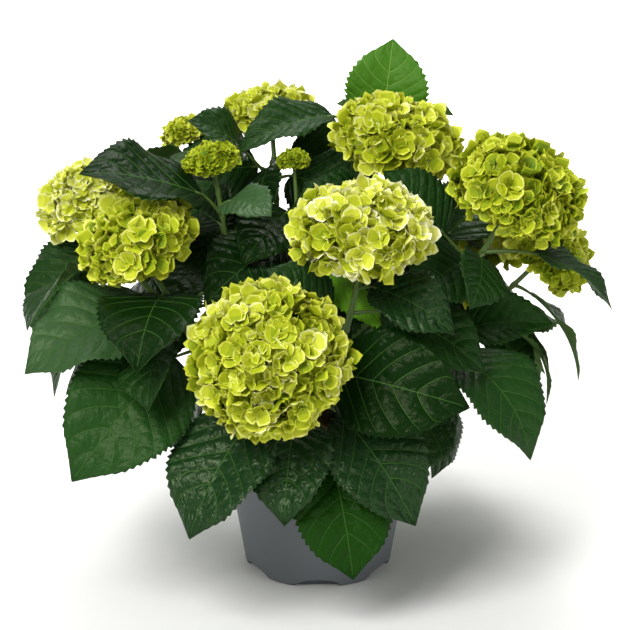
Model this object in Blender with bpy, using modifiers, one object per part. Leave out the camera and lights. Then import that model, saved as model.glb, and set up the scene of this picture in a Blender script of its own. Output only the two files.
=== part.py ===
"""A mophead hydrangea in flower, in its nursery container.

The plant is an assembly of separate solids, in metres, +Z up, standing on the
container's flat underside at the origin; the front of the plant faces -Y.

container       a plastic pot, open at the top, with arched notches round its foot
potting_mix     the plug of soil that fills the container
crown           the short woody stem in the soil that every shoot springs from
cane_NAME       the bare lower part of a shoot, one tapering limb
foliage_NAME    the rest of the same shoot: its stem, leaf stalks and leaves, and the
                flower head on top, a domed core with florets standing out of it

Each shoot follows one smooth curve from the crown to its flower head. Leaves
stand on it in a table of turns and pitches, and a leaf that would touch
something is turned a little at a time until it is clear, or left out.
"""

import math
import random
from dataclasses import dataclass

import bmesh
import bpy
from mathutils import Matrix, Vector
from mathutils.bvhtree import BVHTree

MM = 0.001
GAP = 0.3 * MM  # between solids that meet in the real plant

# Container, in the usual 20 cm size
POT_HEIGHT = 150 * MM
POT_TOP_RADIUS = 100 * MM
POT_BASE_RADIUS = 72.5 * MM
POT_WALL = 2.2 * MM
POT_RIM_HEIGHT = 20 * MM
POT_RIM_PROUD = 3 * MM
POT_FOOT_ROUND = 6 * MM
FOOT_RING_INNER = 50 * MM
FOOT_RING_HEIGHT = 13 * MM
POT_FLOOR = 3 * MM
POT_SIDES = 28
NOTCH_COUNT = 6
NOTCH_WIDTH = 46 * MM
NOTCH_HEIGHT = 10 * MM
NOTCH_DEPTH = 12 * MM
NOTCH_SIDES = 10  # of the round bar that cuts a notch

# Potting mix
MIX_BELOW_RIM = 12 * MM
MIX_CROWNING = 3 * MM
MIX_FLAT_RADIUS = 24 * MM

# Crown: root flare, neck and the knuckle that the shoots leave
FLARE_RADIUS = 20 * MM
NECK_RADIUS = 12 * MM
NECK_HEIGHT = 14 * MM
KNUCKLE_RADIUS = 21 * MM
KNUCKLE_HEIGHT = 32 * MM  # of its centre above the soil
CROWN_SIDES = 16
KNUCKLE_RINGS = 7

# Shoots
CANE_RADIUS = 3.9 * MM  # at the crown
STALK_RADIUS = 2.5 * MM  # below a large flower head
LEAFLESS_SHARE = 0.3  # of each shoot's length, where the foliage starts
CROWN_PULL = 0.38  # how far a shoot keeps the direction in which it leaves the crown
HEAD_PULL = 0.34  # and that in which it enters its flower head
STEM_STEPS = 20  # of a whole shoot, for tests of contact
CANE_STEPS = 4  # of its bare part
GREEN_STEPS = 6  # and of its green part
STEP_EASE = 1.6  # steps are shorter at a joint, so that the end faces there lie parallel

# Leaves
LEAF_THICKNESS = 1.7 * MM
LEAF_WIDTH = 0.66  # of the blade's length
LEAF_BEND = 0.10  # how high the midrib arches above its chord, as a share of length
LEAF_FOLD = 15  # degrees by which each half rises from the midrib
LEAF_OUTLINE = ((0.0, 0.10), (0.18, 0.76), (0.42, 1.0), (0.72, 0.76), (1.0, 0.0))
PETIOLE_RADIUS = 1.7 * MM
PETIOLE_LIFT = 35  # degrees that a leaf stalk rises above its blade
PETIOLE_STEEPEST = 50  # degrees above the horizon
LEAN = 0.9  # how strongly a blade turns its face from the sky to the outside
PAIR_PITCH = (-56, -12)  # degrees above the horizon, of pairs at the foot and top of a shoot
PAIR_PETIOLE = 26  # mm
CLEARANCE = 2.0 * MM  # kept on each side of a blade
TURN_STEP = 8  # degrees by which a leaf is turned sideways, tilted up or down
TURN_LIMIT = 40  # farthest turn of a leaf that stands in the table on its own
PAIR_TURN_LIMIT = 88  # and of a leaf of a pair
TILT_LIMIT = 16

# Flower heads
FLORET_SPACING = 54 * MM
FLORET_RADIUS = 26 * MM
FLORET_DEPTH = 16 * MM
FLORET_DIMPLE = 5 * MM
CORE_SHARE = 0.88  # of the head's radius
FULL_FLORETS = 110 * MM  # across, of a head whose florets have their full size
SMALLEST_HEAD = 20 * MM  # across; anything less is a leaf bud
HEAD_EDGE = 1.03  # share of the head's size that no floret's corner passes
HEAD_ROOM = 1.06  # and that leaves keep out of
HEAD_COVER = 118  # degrees from the head's axis that florets reach

FLAT_WITHIN = 1.5  # degrees between faces that are joined after a union
SEED = 7


@dataclass(frozen=True)
class Leaf:
    """A leaf: where it stands on its shoot, and how its blade lies."""

    up: float  # share of the shoot's length
    azimuth: float  # degrees from +X towards +Y
    pitch: float  # degrees above the horizon, from the blade's foot to its tip
    length: float  # of the blade, mm
    petiole: float = 20  # mm
    facing: float = None  # azimuth the blade turns to from the sky, outwards if not given
    lean: float = LEAN  # how strongly it does
    width: float = LEAF_WIDTH  # share of the length
    bend: float = LEAF_BEND  # how high the midrib arches above its chord, share of length
    fold: float = LEAF_FOLD  # degrees by which each half rises from the midrib


@dataclass(frozen=True)
class Shoot:
    """A shoot: its flower head's middle and size (mm), the way it faces, and its leaves."""

    head: tuple
    size: tuple  # width and height of the head
    faces: tuple  # azimuth and pitch of the head's axis, degrees
    leaves: tuple  # one by one
    pairs: tuple = ()  # (share of the length, azimuth of one of the two, length in mm)
    leaving: tuple = ()  # azimuth and pitch at the crown, where the rule's are not wanted

    def paired_leaves(self):
        """Opposite leaves, which droop more the lower they stand."""
        for up, azimuth, length in self.pairs:
            pitch = PAIR_PITCH[0] + (PAIR_PITCH[1] - PAIR_PITCH[0]) * up
            yield Leaf(up, azimuth, pitch, length, PAIR_PETIOLE)
            yield Leaf(up, azimuth + 180, pitch, length, PAIR_PETIOLE)


SHOOTS = {
    "front": Shoot(
        (-46, -160, 271), (155, 128), (-100, 35),
        (
            Leaf(0.62, -20, -8, 138, 42, -90, 2.0),
            Leaf(0.56, -134, -47, 136, 45),
            Leaf(0.55, -34, -48, 128, 50),
            Leaf(0.38, -66, -64, 120, 70, width=0.70),
            Leaf(0.42, -105, -36, 110, 40),
        ),
        leaving=(-95, 14),
    ),
    "middle": Shoot(
        (40, -95, 372), (138, 82), (-70, 80),
        (
            Leaf(0.80, -24, -14, 92, 12, -70, 0.8),
            Leaf(0.50, -178, 36, 74, 20, -90, 1.0),
        ),
        ((0.62, 40, 115),),
    ),
    "right": Shoot(
        (188, -20, 390), (131, 100), (-10, 65),
        (
            Leaf(0.76, 173, 46, 86, 40, -90, 0.8),
            Leaf(0.84, -15, -23, 95, 45),
            Leaf(0.84, -100, -25, 75, 20),
            Leaf(0.36, -38, -41, 128, 45, -50, 1.4, bend=0.18),
            Leaf(0.78, -130, -2, 95, 12, -90, 1.5),
        ),
    ),
    "far_right": Shoot(
        (227, 45, 310), (96, 74), (5, 45),
        (
            Leaf(0.90, -19, -57, 102, 14),
            Leaf(0.54, -17, 10, 92, 12, -90, 1.0, fold=35),
            Leaf(0.68, 2, -54, 105, 12, width=0.3, bend=0.2),
            Leaf(0.62, 20, -44, 90, 12, -60, 1.0),
        ),
        ((0.80, 70, 115), (0.42, 75, 130)),
        leaving=(16, 8),
    ),
    "left": Shoot(
        (-171, -60, 354), (116, 72), (-150, 65),
        (
            Leaf(0.50, -139, -37, 155, 40, -90, 1.5),
            Leaf(0.80, -82, -13, 130, 16, -100, 1.0),
            Leaf(0.72, -155, -12, 138, 24, -110, 0.7),
            Leaf(0.64, 173, -42, 110, 40),
        ),
        ((0.66, 100, 110),),
        leaving=(-146, 20),
    ),
    "far_left": Shoot(
        (-225, 50, 363), (100, 78), (165, 62),
        (
            Leaf(0.66, -138, -49, 110, 40),
            Leaf(0.88, 176, -39, 112, 12, -100, 1.0),
        ),
        ((0.82, 75, 120), (0.56, 110, 140)),
    ),
    "top": Shoot(
        (78, 66, 418), (133, 85), (20, 80),
        (
            Leaf(0.90, -125, -24, 100, 20, -90, 0.5),
            Leaf(0.62, -46, -16, 120, 12, -90, 1.5),
            Leaf(0.78, -158, 12, 84, 16, -90, 1.0),
        ),
        ((0.66, 120, 120), (0.55, 20, 120)),
        leaving=(30, 58),
    ),
    "leafy_top": Shoot(
        (62, 142, 430), (9, 18), (70, 85),
        (
            Leaf(0.92, 60, 76, 92, 12, -90, 2.0, 0.8),
            Leaf(0.95, -150, -12, 112, 56, -90, 0.5, 0.5, fold=30),
            Leaf(0.88, 130, 24, 50, 24),
            Leaf(0.90, 30, 6, 72, 24),
        ),
        ((0.62, 150, 120),),
        leaving=(58, 36),
    ),
    "top_left": Shoot(
        (-48, 150, 428), (92, 52), (115, 80),
        (
            Leaf(0.76, -152, 32, 82, 52, -90, 0.7),
            Leaf(0.88, -94, -30, 96, 36, 180),
            Leaf(0.72, -109, -21, 85, 20, -90),
            Leaf(0.80, -30, -8, 115, 16, -90, 1.0),
            Leaf(0.82, 178, -8, 100, 16, -90, 1.5),
            Leaf(0.86, 12, -10, 105, 14, -90, 2.0),
            Leaf(0.66, -178, -12, 115, 20, -90, 1.0),
        ),
        leaving=(124, 50),
    ),
    "small_left": Shoot(
        (-101, -10, 419), (56, 28), (-170, 80),
        (
            Leaf(0.80, -158, 10, 132, 30, -90, 0.4, bend=0.04),
            Leaf(0.84, -50, 0, 66, 12, -90, 0.7),
            Leaf(0.90, 140, 8, 80, 12, -90, 0.7),
            Leaf(0.70, 100, -15, 100, 20),
        ),
        leaving=(-168, 40),
    ),
    "small_back": Shoot(
        (-134, 150, 407), (54, 34), (140, 70),
        (
            Leaf(0.92, -119, 9, 70, 12),
        ),
        ((0.86, 75, 110), (0.52, 110, 130)),
    ),
    "small_middle": Shoot(
        (-24, 40, 405), (34, 24), (120, 80),
        (
            Leaf(0.80, -124, -24, 85, 12, -90),
            Leaf(0.62, -150, -10, 110, 20, -90),
            Leaf(0.56, -44, -25, 114, 8, -70, 1.2, 0.36, 0.14, -35),
        ),
        leaving=(180, 76),
    ),
    "leafy_left": Shoot(
        (-100, 70, 325), (9, 18), (-160, 70),
        (
            Leaf(0.96, -75, -20, 110, 20, -90),
        ),
        ((0.62, 100, 130),),
        leaving=(156, 46),
    ),
    "leafy_right": Shoot(
        (120, 45, 318), (9, 18), (-20, 75),
        (
            Leaf(0.96, 60, 4, 105, 20),
            Leaf(0.70, 95, -24, 110, 26),
        ),
        leaving=(-20, 66),
    ),
    "back": Shoot(
        (24, 205, 288), (122, 86), (82, 45), (), ((0.74, 40, 115), (0.58, 95, 145)), (90, 22)
    ),
    "back_right": Shoot(
        (168, 142, 312), (116, 82), (42, 55), (), ((0.74, 110, 115), (0.56, 20, 130)), (40, 14)
    ),
    "back_left": Shoot(
        (-134, 178, 264), (112, 82), (125, 42), (), ((0.80, 30, 120), (0.60, 120, 150)), (118, 2)
    ),
    "back_low": Shoot(
        (138, 224, 222), (108, 78), (58, 35), (), ((0.78, 165, 120), (0.54, 80, 150)), (60, 2)
    ),
}


def direction(azimuth, pitch):
    """The unit vector at these degrees from +X and above the horizon."""
    a, p = math.radians(azimuth), math.radians(pitch)
    return Vector((math.cos(p) * math.cos(a), math.cos(p) * math.sin(a), math.sin(p)))


# ---------------------------------------------------------------- scene helpers


def clear_scene():
    for thing in list(bpy.data.objects):
        bpy.data.objects.remove(thing, do_unlink=True)


def new_collection(name):
    made = bpy.data.collections.new(name)
    bpy.context.scene.collection.children.link(made)
    return made


def new_material(name, colour, roughness, metallic=0.0):
    made = bpy.data.materials.new(name)
    made.use_nodes = True
    shader = made.node_tree.nodes["Principled BSDF"]
    shader.inputs["Base Color"].default_value = (*colour, 1)
    shader.inputs["Roughness"].default_value = roughness
    shader.inputs["Metallic"].default_value = metallic
    return made


def new_object(name, mesh, collection):
    made = bpy.data.objects.new(name, mesh)
    collection.objects.link(made)
    return made


def mesh_from(bm, name):
    bmesh.ops.recalc_face_normals(bm, faces=bm.faces)
    mesh = bpy.data.meshes.new(name)
    bm.to_mesh(mesh)
    bm.free()
    return mesh


def evaluated_mesh(thing):
    """The mesh of an object as its modifiers leave it, placed where the object is."""
    bpy.context.view_layer.update()
    graph = bpy.context.evaluated_depsgraph_get()
    mesh = bpy.data.meshes.new_from_object(thing.evaluated_get(graph), depsgraph=graph)
    mesh.transform(thing.matrix_world)
    return mesh


def remove_objects(things):
    for thing in list(things):
        bpy.data.objects.remove(thing, do_unlink=True)


def keep_main_body(mesh):
    """Drops what a union leaves over: sealed hollows, loose scraps and cuts across flat faces."""
    bm = bmesh.new()
    bm.from_mesh(mesh)
    bmesh.ops.triangulate(bm, faces=bm.faces)
    bodies, seen = [], set()
    for face in bm.faces:
        if face in seen:
            continue
        body, edge_of_it = [], [face]
        seen.add(face)
        while edge_of_it:
            at = edge_of_it.pop()
            body.append(at)
            for edge in at.edges:
                for other in edge.link_faces:
                    if other not in seen:
                        seen.add(other)
                        edge_of_it.append(other)
        bodies.append(body)

    def volume(body):
        corners = [[v.co for v in face.verts] for face in body]
        return sum(a.dot(b.cross(c)) for a, b, c in corners) / 6

    bodies.sort(key=volume, reverse=True)
    spare = [face for body in bodies[1:] for face in body]
    bmesh.ops.delete(bm, geom=spare, context="FACES")
    flat = math.radians(FLAT_WITHIN)
    bmesh.ops.dissolve_limit(bm, angle_limit=flat, verts=bm.verts, edges=bm.edges)
    bmesh.ops.triangulate(bm, faces=bm.faces)
    bm.to_mesh(mesh)
    bm.free()
    return mesh


def united(name, meshes, material, collection):
    """One object from several closed meshes, joined by a Boolean union."""
    base = new_object(name, meshes[0], collection)
    others = new_collection(name + "_pieces")
    for index, mesh in enumerate(meshes[1:]):
        new_object(f"{name}_piece_{index}", mesh, others)
    join = base.modifiers.new("join", "BOOLEAN")
    join.operation = "UNION"
    join.operand_type = "COLLECTION"
    join.collection = others
    join.solver = "MANIFOLD"
    joined = keep_main_body(evaluated_mesh(base))
    base.modifiers.clear()
    base.data = joined
    joined.name = name
    remove_objects(others.objects)
    bpy.data.collections.remove(others)
    base.data.materials.clear()
    base.data.materials.append(material)
    return base


# ---------------------------------------------------------------- tubes


def tube_mesh(name, points, radii, sides_setting):
    """A closed round tube along points, from a bevelled curve with its caps welded."""
    curve = bpy.data.curves.new(name, "CURVE")
    curve.dimensions = "3D"
    curve.bevel_depth = 1.0
    curve.bevel_resolution = sides_setting
    curve.use_fill_caps = True
    spline = curve.splines.new("POLY")
    spline.points.add(len(points) - 1)
    for point, place, radius in zip(spline.points, points, radii):
        point.co = (*place, 1)
        point.radius = radius
    thing = new_object(name, curve, bpy.context.scene.collection)
    mesh = evaluated_mesh(thing)
    remove_objects([thing])
    bpy.data.curves.remove(curve)
    bm = bmesh.new()
    bm.from_mesh(mesh)
    bmesh.ops.remove_doubles(bm, verts=bm.verts, dist=0.01 * MM)
    bmesh.ops.recalc_face_normals(bm, faces=bm.faces)
    bm.to_mesh(mesh)
    bm.free()
    return mesh


# ---------------------------------------------------------------- container, soil, crown


def turned_mesh(name, profile, sides):
    """A solid turned from a profile of (radius, height) points, by a Screw modifier."""
    bm = bmesh.new()
    verts = [bm.verts.new((radius, 0, height)) for radius, height in profile]
    for first, second in zip(verts, verts[1:]):
        bm.edges.new((first, second))
    mesh = bpy.data.meshes.new(name)
    bm.to_mesh(mesh)
    bm.free()
    thing = new_object(name, mesh, bpy.context.scene.collection)
    screw = thing.modifiers.new("turn", "SCREW")
    screw.steps = screw.render_steps = sides
    screw.use_merge_vertices = True
    screw.merge_threshold = 0.00001
    turned = evaluated_mesh(thing)
    remove_objects([thing])
    bm = bmesh.new()
    bm.from_mesh(turned)
    bmesh.ops.remove_doubles(bm, verts=bm.verts, dist=0.01 * MM)
    bmesh.ops.recalc_face_normals(bm, faces=bm.faces)
    bm.to_mesh(turned)
    bm.free()
    return turned


def pot_radius(height):
    """The container's outer radius at a height, without its rim."""
    return POT_BASE_RADIUS + (POT_TOP_RADIUS - POT_RIM_PROUD - POT_BASE_RADIUS) * height / POT_HEIGHT


def pot_profile():
    """From the top of the rim down the outside, across the underside and up the inside."""
    rim_foot = POT_HEIGHT - POT_RIM_HEIGHT
    inner_top = pot_radius(POT_HEIGHT) - POT_WALL
    ring_top = pot_radius(FOOT_RING_HEIGHT) - POT_WALL
    return [
        (pot_radius(POT_HEIGHT) + POT_RIM_PROUD - 1 * MM, POT_HEIGHT),
        (pot_radius(POT_HEIGHT) + POT_RIM_PROUD, POT_HEIGHT - 1 * MM),
        (pot_radius(rim_foot) + POT_RIM_PROUD, rim_foot),
        (pot_radius(rim_foot), rim_foot - 2 * MM),
        (pot_radius(POT_FOOT_ROUND), POT_FOOT_ROUND),
        (POT_BASE_RADIUS - 0.3 * POT_FOOT_ROUND, 0.3 * POT_FOOT_ROUND),
        (POT_BASE_RADIUS - POT_FOOT_ROUND, 0),
        (0, 0),
        (0, POT_FLOOR),
        (FOOT_RING_INNER, POT_FLOOR),
        (FOOT_RING_INNER, FOOT_RING_HEIGHT),
        (ring_top, FOOT_RING_HEIGHT),
        (inner_top, POT_HEIGHT - 1 * MM),
        (inner_top + 1 * MM, POT_HEIGHT),
        (pot_radius(POT_HEIGHT) + POT_RIM_PROUD - 1 * MM, POT_HEIGHT),
    ]


def notch_cutter(index, collection):
    """An arched block across the foot: a squashed round bar pointing at the axis."""
    bm = bmesh.new()
    bmesh.ops.create_cone(
        bm, cap_ends=True, segments=NOTCH_SIDES, radius1=1, radius2=1, depth=2 * NOTCH_DEPTH
    )
    turn = 2 * math.pi * (index + 0.5) / NOTCH_COUNT
    to_side = Matrix.Rotation(math.pi / 2, 4, "Y")
    squash = Matrix.Diagonal((1, NOTCH_WIDTH / 2, NOTCH_HEIGHT, 1))
    place = Matrix.Translation((POT_BASE_RADIUS + 1 * MM, 0, 0))
    bm.transform(Matrix.Rotation(turn, 4, "Z") @ place @ squash @ to_side)
    cutter = new_object(f"notch_cutter_{index}", mesh_from(bm, "notch_cutter"), collection)
    cutter.hide_render = True
    cutter.display_type = "WIRE"
    return cutter


def make_container(collection, cutters, material):
    pot = new_object("container", turned_mesh("container", pot_profile(), POT_SIDES), collection)
    for index in range(NOTCH_COUNT):
        notch_cutter(index, cutters)
    cut = pot.modifiers.new("notches", "BOOLEAN")
    cut.operation = "DIFFERENCE"
    cut.operand_type = "COLLECTION"
    cut.collection = cutters
    pot.data.materials.append(material)
    return pot


def mix_top():
    """The height of the soil at the middle, where the crown stands."""
    return POT_HEIGHT - MIX_BELOW_RIM + MIX_CROWNING


def make_potting_mix(collection, material):
    """The soil keeps a running gap to the container's wall, foot ring and floor."""
    edge_height = POT_HEIGHT - MIX_BELOW_RIM
    step = FOOT_RING_HEIGHT + GAP
    wall = POT_WALL + GAP / math.cos(math.pi / POT_SIDES)
    profile = [
        (0, mix_top()),
        (MIX_FLAT_RADIUS, mix_top()),
        (pot_radius(edge_height) - wall - 14 * MM, edge_height + 0.4 * MIX_CROWNING),
        (pot_radius(edge_height) - wall, edge_height),
        (pot_radius(step) - wall, step),
        (FOOT_RING_INNER - GAP, step),
        (FOOT_RING_INNER - GAP, POT_FLOOR + GAP),
        (0, POT_FLOOR + GAP),
    ]
    mix = new_object("potting_mix", turned_mesh("potting_mix", profile, POT_SIDES), collection)
    mix.data.materials.append(material)
    return mix


def knuckle_centre():
    return Vector((0, 0, mix_top() + GAP + KNUCKLE_HEIGHT))


def make_crown(collection, material):
    foot = mix_top() + GAP
    profile = [(0, foot), (FLARE_RADIUS, foot), (0.8 * FLARE_RADIUS, foot + 3 * MM)]
    profile.append((NECK_RADIUS, foot + NECK_HEIGHT))
    for ring in range(KNUCKLE_RINGS):
        angle = math.radians(-35 + 125 * ring / (KNUCKLE_RINGS - 1))
        height = foot + KNUCKLE_HEIGHT + KNUCKLE_RADIUS * math.sin(angle)
        profile.append((max(0.0, KNUCKLE_RADIUS * math.cos(angle)), height))
    profile[-1] = (0, profile[-1][1])
    profile.reverse()
    crown = new_object("crown", turned_mesh("crown", profile, CROWN_SIDES), collection)
    crown.data.materials.append(material)
    return crown


# ---------------------------------------------------------------- shoots


class Stem:
    """A shoot's smooth curve from the crown's knuckle to the foot of its flower head."""

    def __init__(self, shoot):
        self.shoot = shoot
        self.centre = Vector(shoot.head) * MM
        self.axis = direction(*shoot.faces)
        self.head_width, self.head_height = [length * MM for length in shoot.size]
        self.start_direction = self.leaving_direction()
        start = knuckle_centre() + self.start_direction * (KNUCKLE_RADIUS + GAP)
        end = self.centre - self.axis * self.head_height * 0.30
        reach = (end - start).length
        self.controls = (
            start,
            start + self.start_direction * reach * CROWN_PULL,
            end - self.axis * reach * HEAD_PULL,
            end,
        )

    def leaving_direction(self):
        if self.shoot.leaving:
            return direction(*self.shoot.leaving)
        reach = math.hypot(self.centre.x, self.centre.y)
        azimuth = math.degrees(math.atan2(self.centre.y, self.centre.x))
        return direction(azimuth, 78 - 62 * min(1, reach / (240 * MM)))

    def at(self, share):
        a, b, c, d = self.controls
        t, s = share, 1 - share
        return a * s**3 + b * 3 * s * s * t + c * 3 * s * t * t + d * t**3

    def heading(self, share):
        step = 0.01
        return (self.at(min(1, share + step)) - self.at(max(0, share - step))).normalized()

    def radius(self, share):
        thin = STALK_RADIUS * min(1, 0.5 + self.head_width / (200 * MM))
        return CANE_RADIUS + (thin - CANE_RADIUS) * share

    def tube(self, name, first, last, steps, sides_setting=1):
        """The solid between two shares of the length, in shorter steps towards the first."""
        shares = [first + (last - first) * (i / steps) ** STEP_EASE for i in range(steps + 1)]
        radii = [self.radius(share) for share in shares]
        return tube_mesh(name, [self.at(share) for share in shares], radii, sides_setting)

    def gap_share(self):
        return GAP / sum(
            (self.at((i + 1) / STEM_STEPS) - self.at(i / STEM_STEPS)).length
            for i in range(STEM_STEPS)
        )


class Blade:
    """A leaf's surface, as a function of the share along it and the share across it."""

    def __init__(self, stem, leaf, turn=0.0, tilt=0.0):
        azimuth, pitch = leaf.azimuth + turn, leaf.pitch + tilt
        self.length = leaf.length * MM
        self.width = self.length * leaf.width
        self.bend = self.length * leaf.bend
        self.fold = math.radians(leaf.fold)
        self.node = stem.at(leaf.up)
        lifted = direction(azimuth, min(PETIOLE_STEEPEST, pitch + PETIOLE_LIFT))
        self.foot = self.node + lifted * (leaf.petiole * MM + stem.radius(leaf.up))
        self.along = direction(azimuth, pitch)
        outside = math.degrees(math.atan2(self.foot.y, self.foot.x))
        facing = outside if leaf.facing is None else leaf.facing
        sky = Vector((0, 0, 1)) + direction(facing, 0) * leaf.lean
        self.face = (sky - self.along * sky.dot(self.along)).normalized()
        self.side = self.face.cross(self.along)

    def half_width(self, t):
        for (t0, w0), (t1, w1) in zip(LEAF_OUTLINE, LEAF_OUTLINE[1:]):
            if t <= t1:
                return self.width / 2 * (w0 + (w1 - w0) * (t - t0) / (t1 - t0))
        return 0.0

    def point(self, t, across):
        """Share t along the midrib, and across from -1 at one margin to 1 at the other."""
        wide = self.half_width(t)
        arch = self.bend * 4 * t * (1 - t)
        sideways = self.side * wide * across * math.cos(self.fold)
        upwards = self.face * (arch + wide * abs(across) * math.sin(self.fold))
        return self.foot + self.along * self.length * t + sideways + upwards

    def solid(self, name, thickness):
        """A closed plate of that thickness round the surface."""
        rows = len(LEAF_OUTLINE) - 1
        bm = bmesh.new()
        bmesh.ops.create_grid(bm, x_segments=2, y_segments=rows, size=1)
        for vert in bm.verts:
            row = round((vert.co.y + 1) / 2 * rows)
            vert.co = self.point(LEAF_OUTLINE[row][0], vert.co.x)
        bmesh.ops.remove_doubles(bm, verts=bm.verts, dist=0.1 * MM)
        bmesh.ops.recalc_face_normals(bm, faces=bm.faces)
        bmesh.ops.translate(bm, verts=bm.verts, vec=self.face * thickness / 2)
        bmesh.ops.solidify(bm, geom=bm.faces[:], thickness=thickness)
        bmesh.ops.triangulate(bm, faces=bm.faces)
        return mesh_from(bm, name)

    def petiole(self, name, start=0.0):
        """The leaf stalk, rooted in the shoot and sunk into the blade, or its outer part."""
        inside = self.point(0.08, 0)
        first = self.node.lerp(self.foot, start)
        return tube_mesh(name, (first, inside), (PETIOLE_RADIUS * 1.25, PETIOLE_RADIUS), 0)


def tree_of(mesh):
    """A search tree of a mesh, for tests of contact."""
    bm = bmesh.new()
    bm.from_mesh(mesh)
    tree = BVHTree.FromBMesh(bm)
    bm.free()
    return tree


def ellipsoid(name, stem, share, subdivisions):
    """The flower head's outer shape, scaled by share."""
    bm = bmesh.new()
    bmesh.ops.create_icosphere(bm, subdivisions=subdivisions, radius=1)
    half = stem.head_width / 2 * share
    stretch = Matrix.Diagonal((half, half, stem.head_height / 2 * share, 1))
    aim = stem.axis.to_track_quat("Z", "Y").to_matrix().to_4x4()
    bm.transform(Matrix.Translation(stem.centre) @ aim @ stretch)
    return mesh_from(bm, name)


def pot_obstacle():
    """The container and the ground as a plain shape for tests of contact."""
    bm = bmesh.new()
    bmesh.ops.create_cone(
        bm, cap_ends=True, segments=24, radius1=POT_BASE_RADIUS + 3 * MM,
        radius2=POT_TOP_RADIUS + 3 * MM, depth=POT_HEIGHT,
    )
    bmesh.ops.translate(bm, verts=bm.verts, vec=(0, 0, POT_HEIGHT / 2))
    return mesh_from(bm, "pot_obstacle")


def limb_obstacles(stem):
    """What a shoot's own leaves keep clear of, and what the other shoots' leaves do."""
    head = tree_of(ellipsoid("head", stem, HEAD_ROOM, 2))
    cane = tree_of(stem.tube("cane", LEAFLESS_SHARE, 0, CANE_STEPS))
    whole = tree_of(stem.tube("stem", 0, 0.98, STEM_STEPS, 0))
    own = [cane, head] if stem.head_width > SMALLEST_HEAD else [cane]
    return own, [whole, head]


def moves(turn_limit):
    """Every (turn, tilt) within the limits, the smallest first."""
    turns = range(-turn_limit, turn_limit + 1, TURN_STEP)
    tilts = range(-TILT_LIMIT, TILT_LIMIT + 1, TURN_STEP)
    both = [(turn, tilt) for turn in turns for tilt in tilts]
    return sorted(both, key=lambda move: abs(move[0]) + 1.5 * abs(move[1]))


def find_room(stem, leaf, turn_limit, obstacles):
    """The blade at the first turn and tilt that keep it clear of the obstacles."""
    for turn, tilt in moves(turn_limit):
        blade = Blade(stem, leaf, turn, tilt)
        body = tree_of(blade.solid("try", LEAF_THICKNESS + 2 * CLEARANCE))
        if any(body.overlap(other) for other in obstacles):
            continue
        stalk = tree_of(blade.petiole("try"))
        if not any(stalk.overlap(other) for other in obstacles):
            return blade, (turn, tilt)
    return None, None


def grow_leaves(stems):
    """Every leaf that finds room, as {shoot name: [Blade]}, and the names of those left out."""
    pot = tree_of(pot_obstacle())
    limbs = {name: limb_obstacles(stem) for name, stem in stems.items()}
    grown = {name: [] for name in stems}
    left_out, taken = [], []
    shoots = {name: stem.shoot for name, stem in stems.items()}
    plan = [(name, leaf, TURN_LIMIT) for name in shoots for leaf in shoots[name].leaves]
    for name in shoots:
        plan += [(name, leaf, PAIR_TURN_LIMIT) for leaf in shoots[name].paired_leaves()]
    for name, leaf, turn_limit in plan:
        obstacles = [pot]
        for owner, (for_own_leaves, for_others) in limbs.items():
            obstacles += for_own_leaves if owner == name else for_others
        for owner, blade, stalk, free_stalk in taken:
            obstacles += [blade, free_stalk if owner == name else stalk]
        blade, moved = find_room(stems[name], leaf, turn_limit, obstacles)
        if not blade:
            left_out.append(f"{name} at {leaf.up} azimuth {leaf.azimuth}")
            continue
        if moved != (0, 0):
            print(f"leaf of {name} at {leaf.up}, azimuth {leaf.azimuth}: moved {moved}")
        grown[name].append(blade)
        bodies = (blade.solid("kept", LEAF_THICKNESS), blade.petiole("kept"))
        taken.append((name, *map(tree_of, bodies), tree_of(blade.petiole("kept", 0.45))))
    return grown, left_out


def make_cane(name, stem, collection, material):
    """The limb is one tapering tube that stops 0.3 mm short of its foliage's stem."""
    mesh = stem.tube("cane_" + name, LEAFLESS_SHARE, 0, CANE_STEPS)
    cane = new_object("cane_" + name, mesh, collection)
    cane.data.materials.append(material)
    return cane


def floret_mesh(spread, depth, dimple):
    """Four broad sepals as one shallow four-cornered cup, its tip pointing inwards."""
    bm = bmesh.new()
    bmesh.ops.create_cone(
        bm, cap_ends=True, cap_tris=True, segments=4, radius1=0, radius2=spread, depth=depth
    )
    bmesh.ops.remove_doubles(bm, verts=bm.verts, dist=0.01 * MM)
    for vert in bm.verts:
        if vert.co.z > 0 and math.hypot(vert.co.x, vert.co.y) < spread / 2:
            vert.co.z -= dimple
    bmesh.ops.translate(bm, verts=bm.verts, vec=(0, 0, -depth / 2))
    return mesh_from(bm, "floret")


def floret_places(stem, spacing):
    """Evenly spread (point, outward) pairs on the head, by the golden angle from its top."""
    half, rise = stem.head_width / 2, stem.head_height / 2
    cover = (1 - math.cos(math.radians(HEAD_COVER))) / 2
    area = 4 * math.pi * ((half**3.2 + 2 * (half * rise) ** 1.6) / 3) ** (1 / 1.6) * cover
    count = max(7, round(area / spacing**2))
    golden = math.pi * (3 - math.sqrt(5))
    aim = stem.axis.to_track_quat("Z", "Y").to_matrix()
    for index in range(count):
        z = 1 - 2 * cover * (index + 0.5) / count
        ring = math.sqrt(1 - z * z)
        x, y = ring * math.cos(index * golden), ring * math.sin(index * golden)
        outward = aim @ Vector((x / half, y / half, z / rise)).normalized()
        yield stem.centre + aim @ Vector((x * half, y * half, z * rise)), outward


def drawn_in(stem, place):
    """The place, drawn back onto the head's edge if it lies beyond it."""
    aim = stem.axis.to_track_quat("Z", "Y").to_matrix()
    x, y, z = aim.transposed() @ (place - stem.centre)
    half, rise = stem.head_width / 2, stem.head_height / 2
    share = math.hypot(x / half, y / half, z / rise)
    return stem.centre + (place - stem.centre) * min(1, HEAD_EDGE / share)


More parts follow.
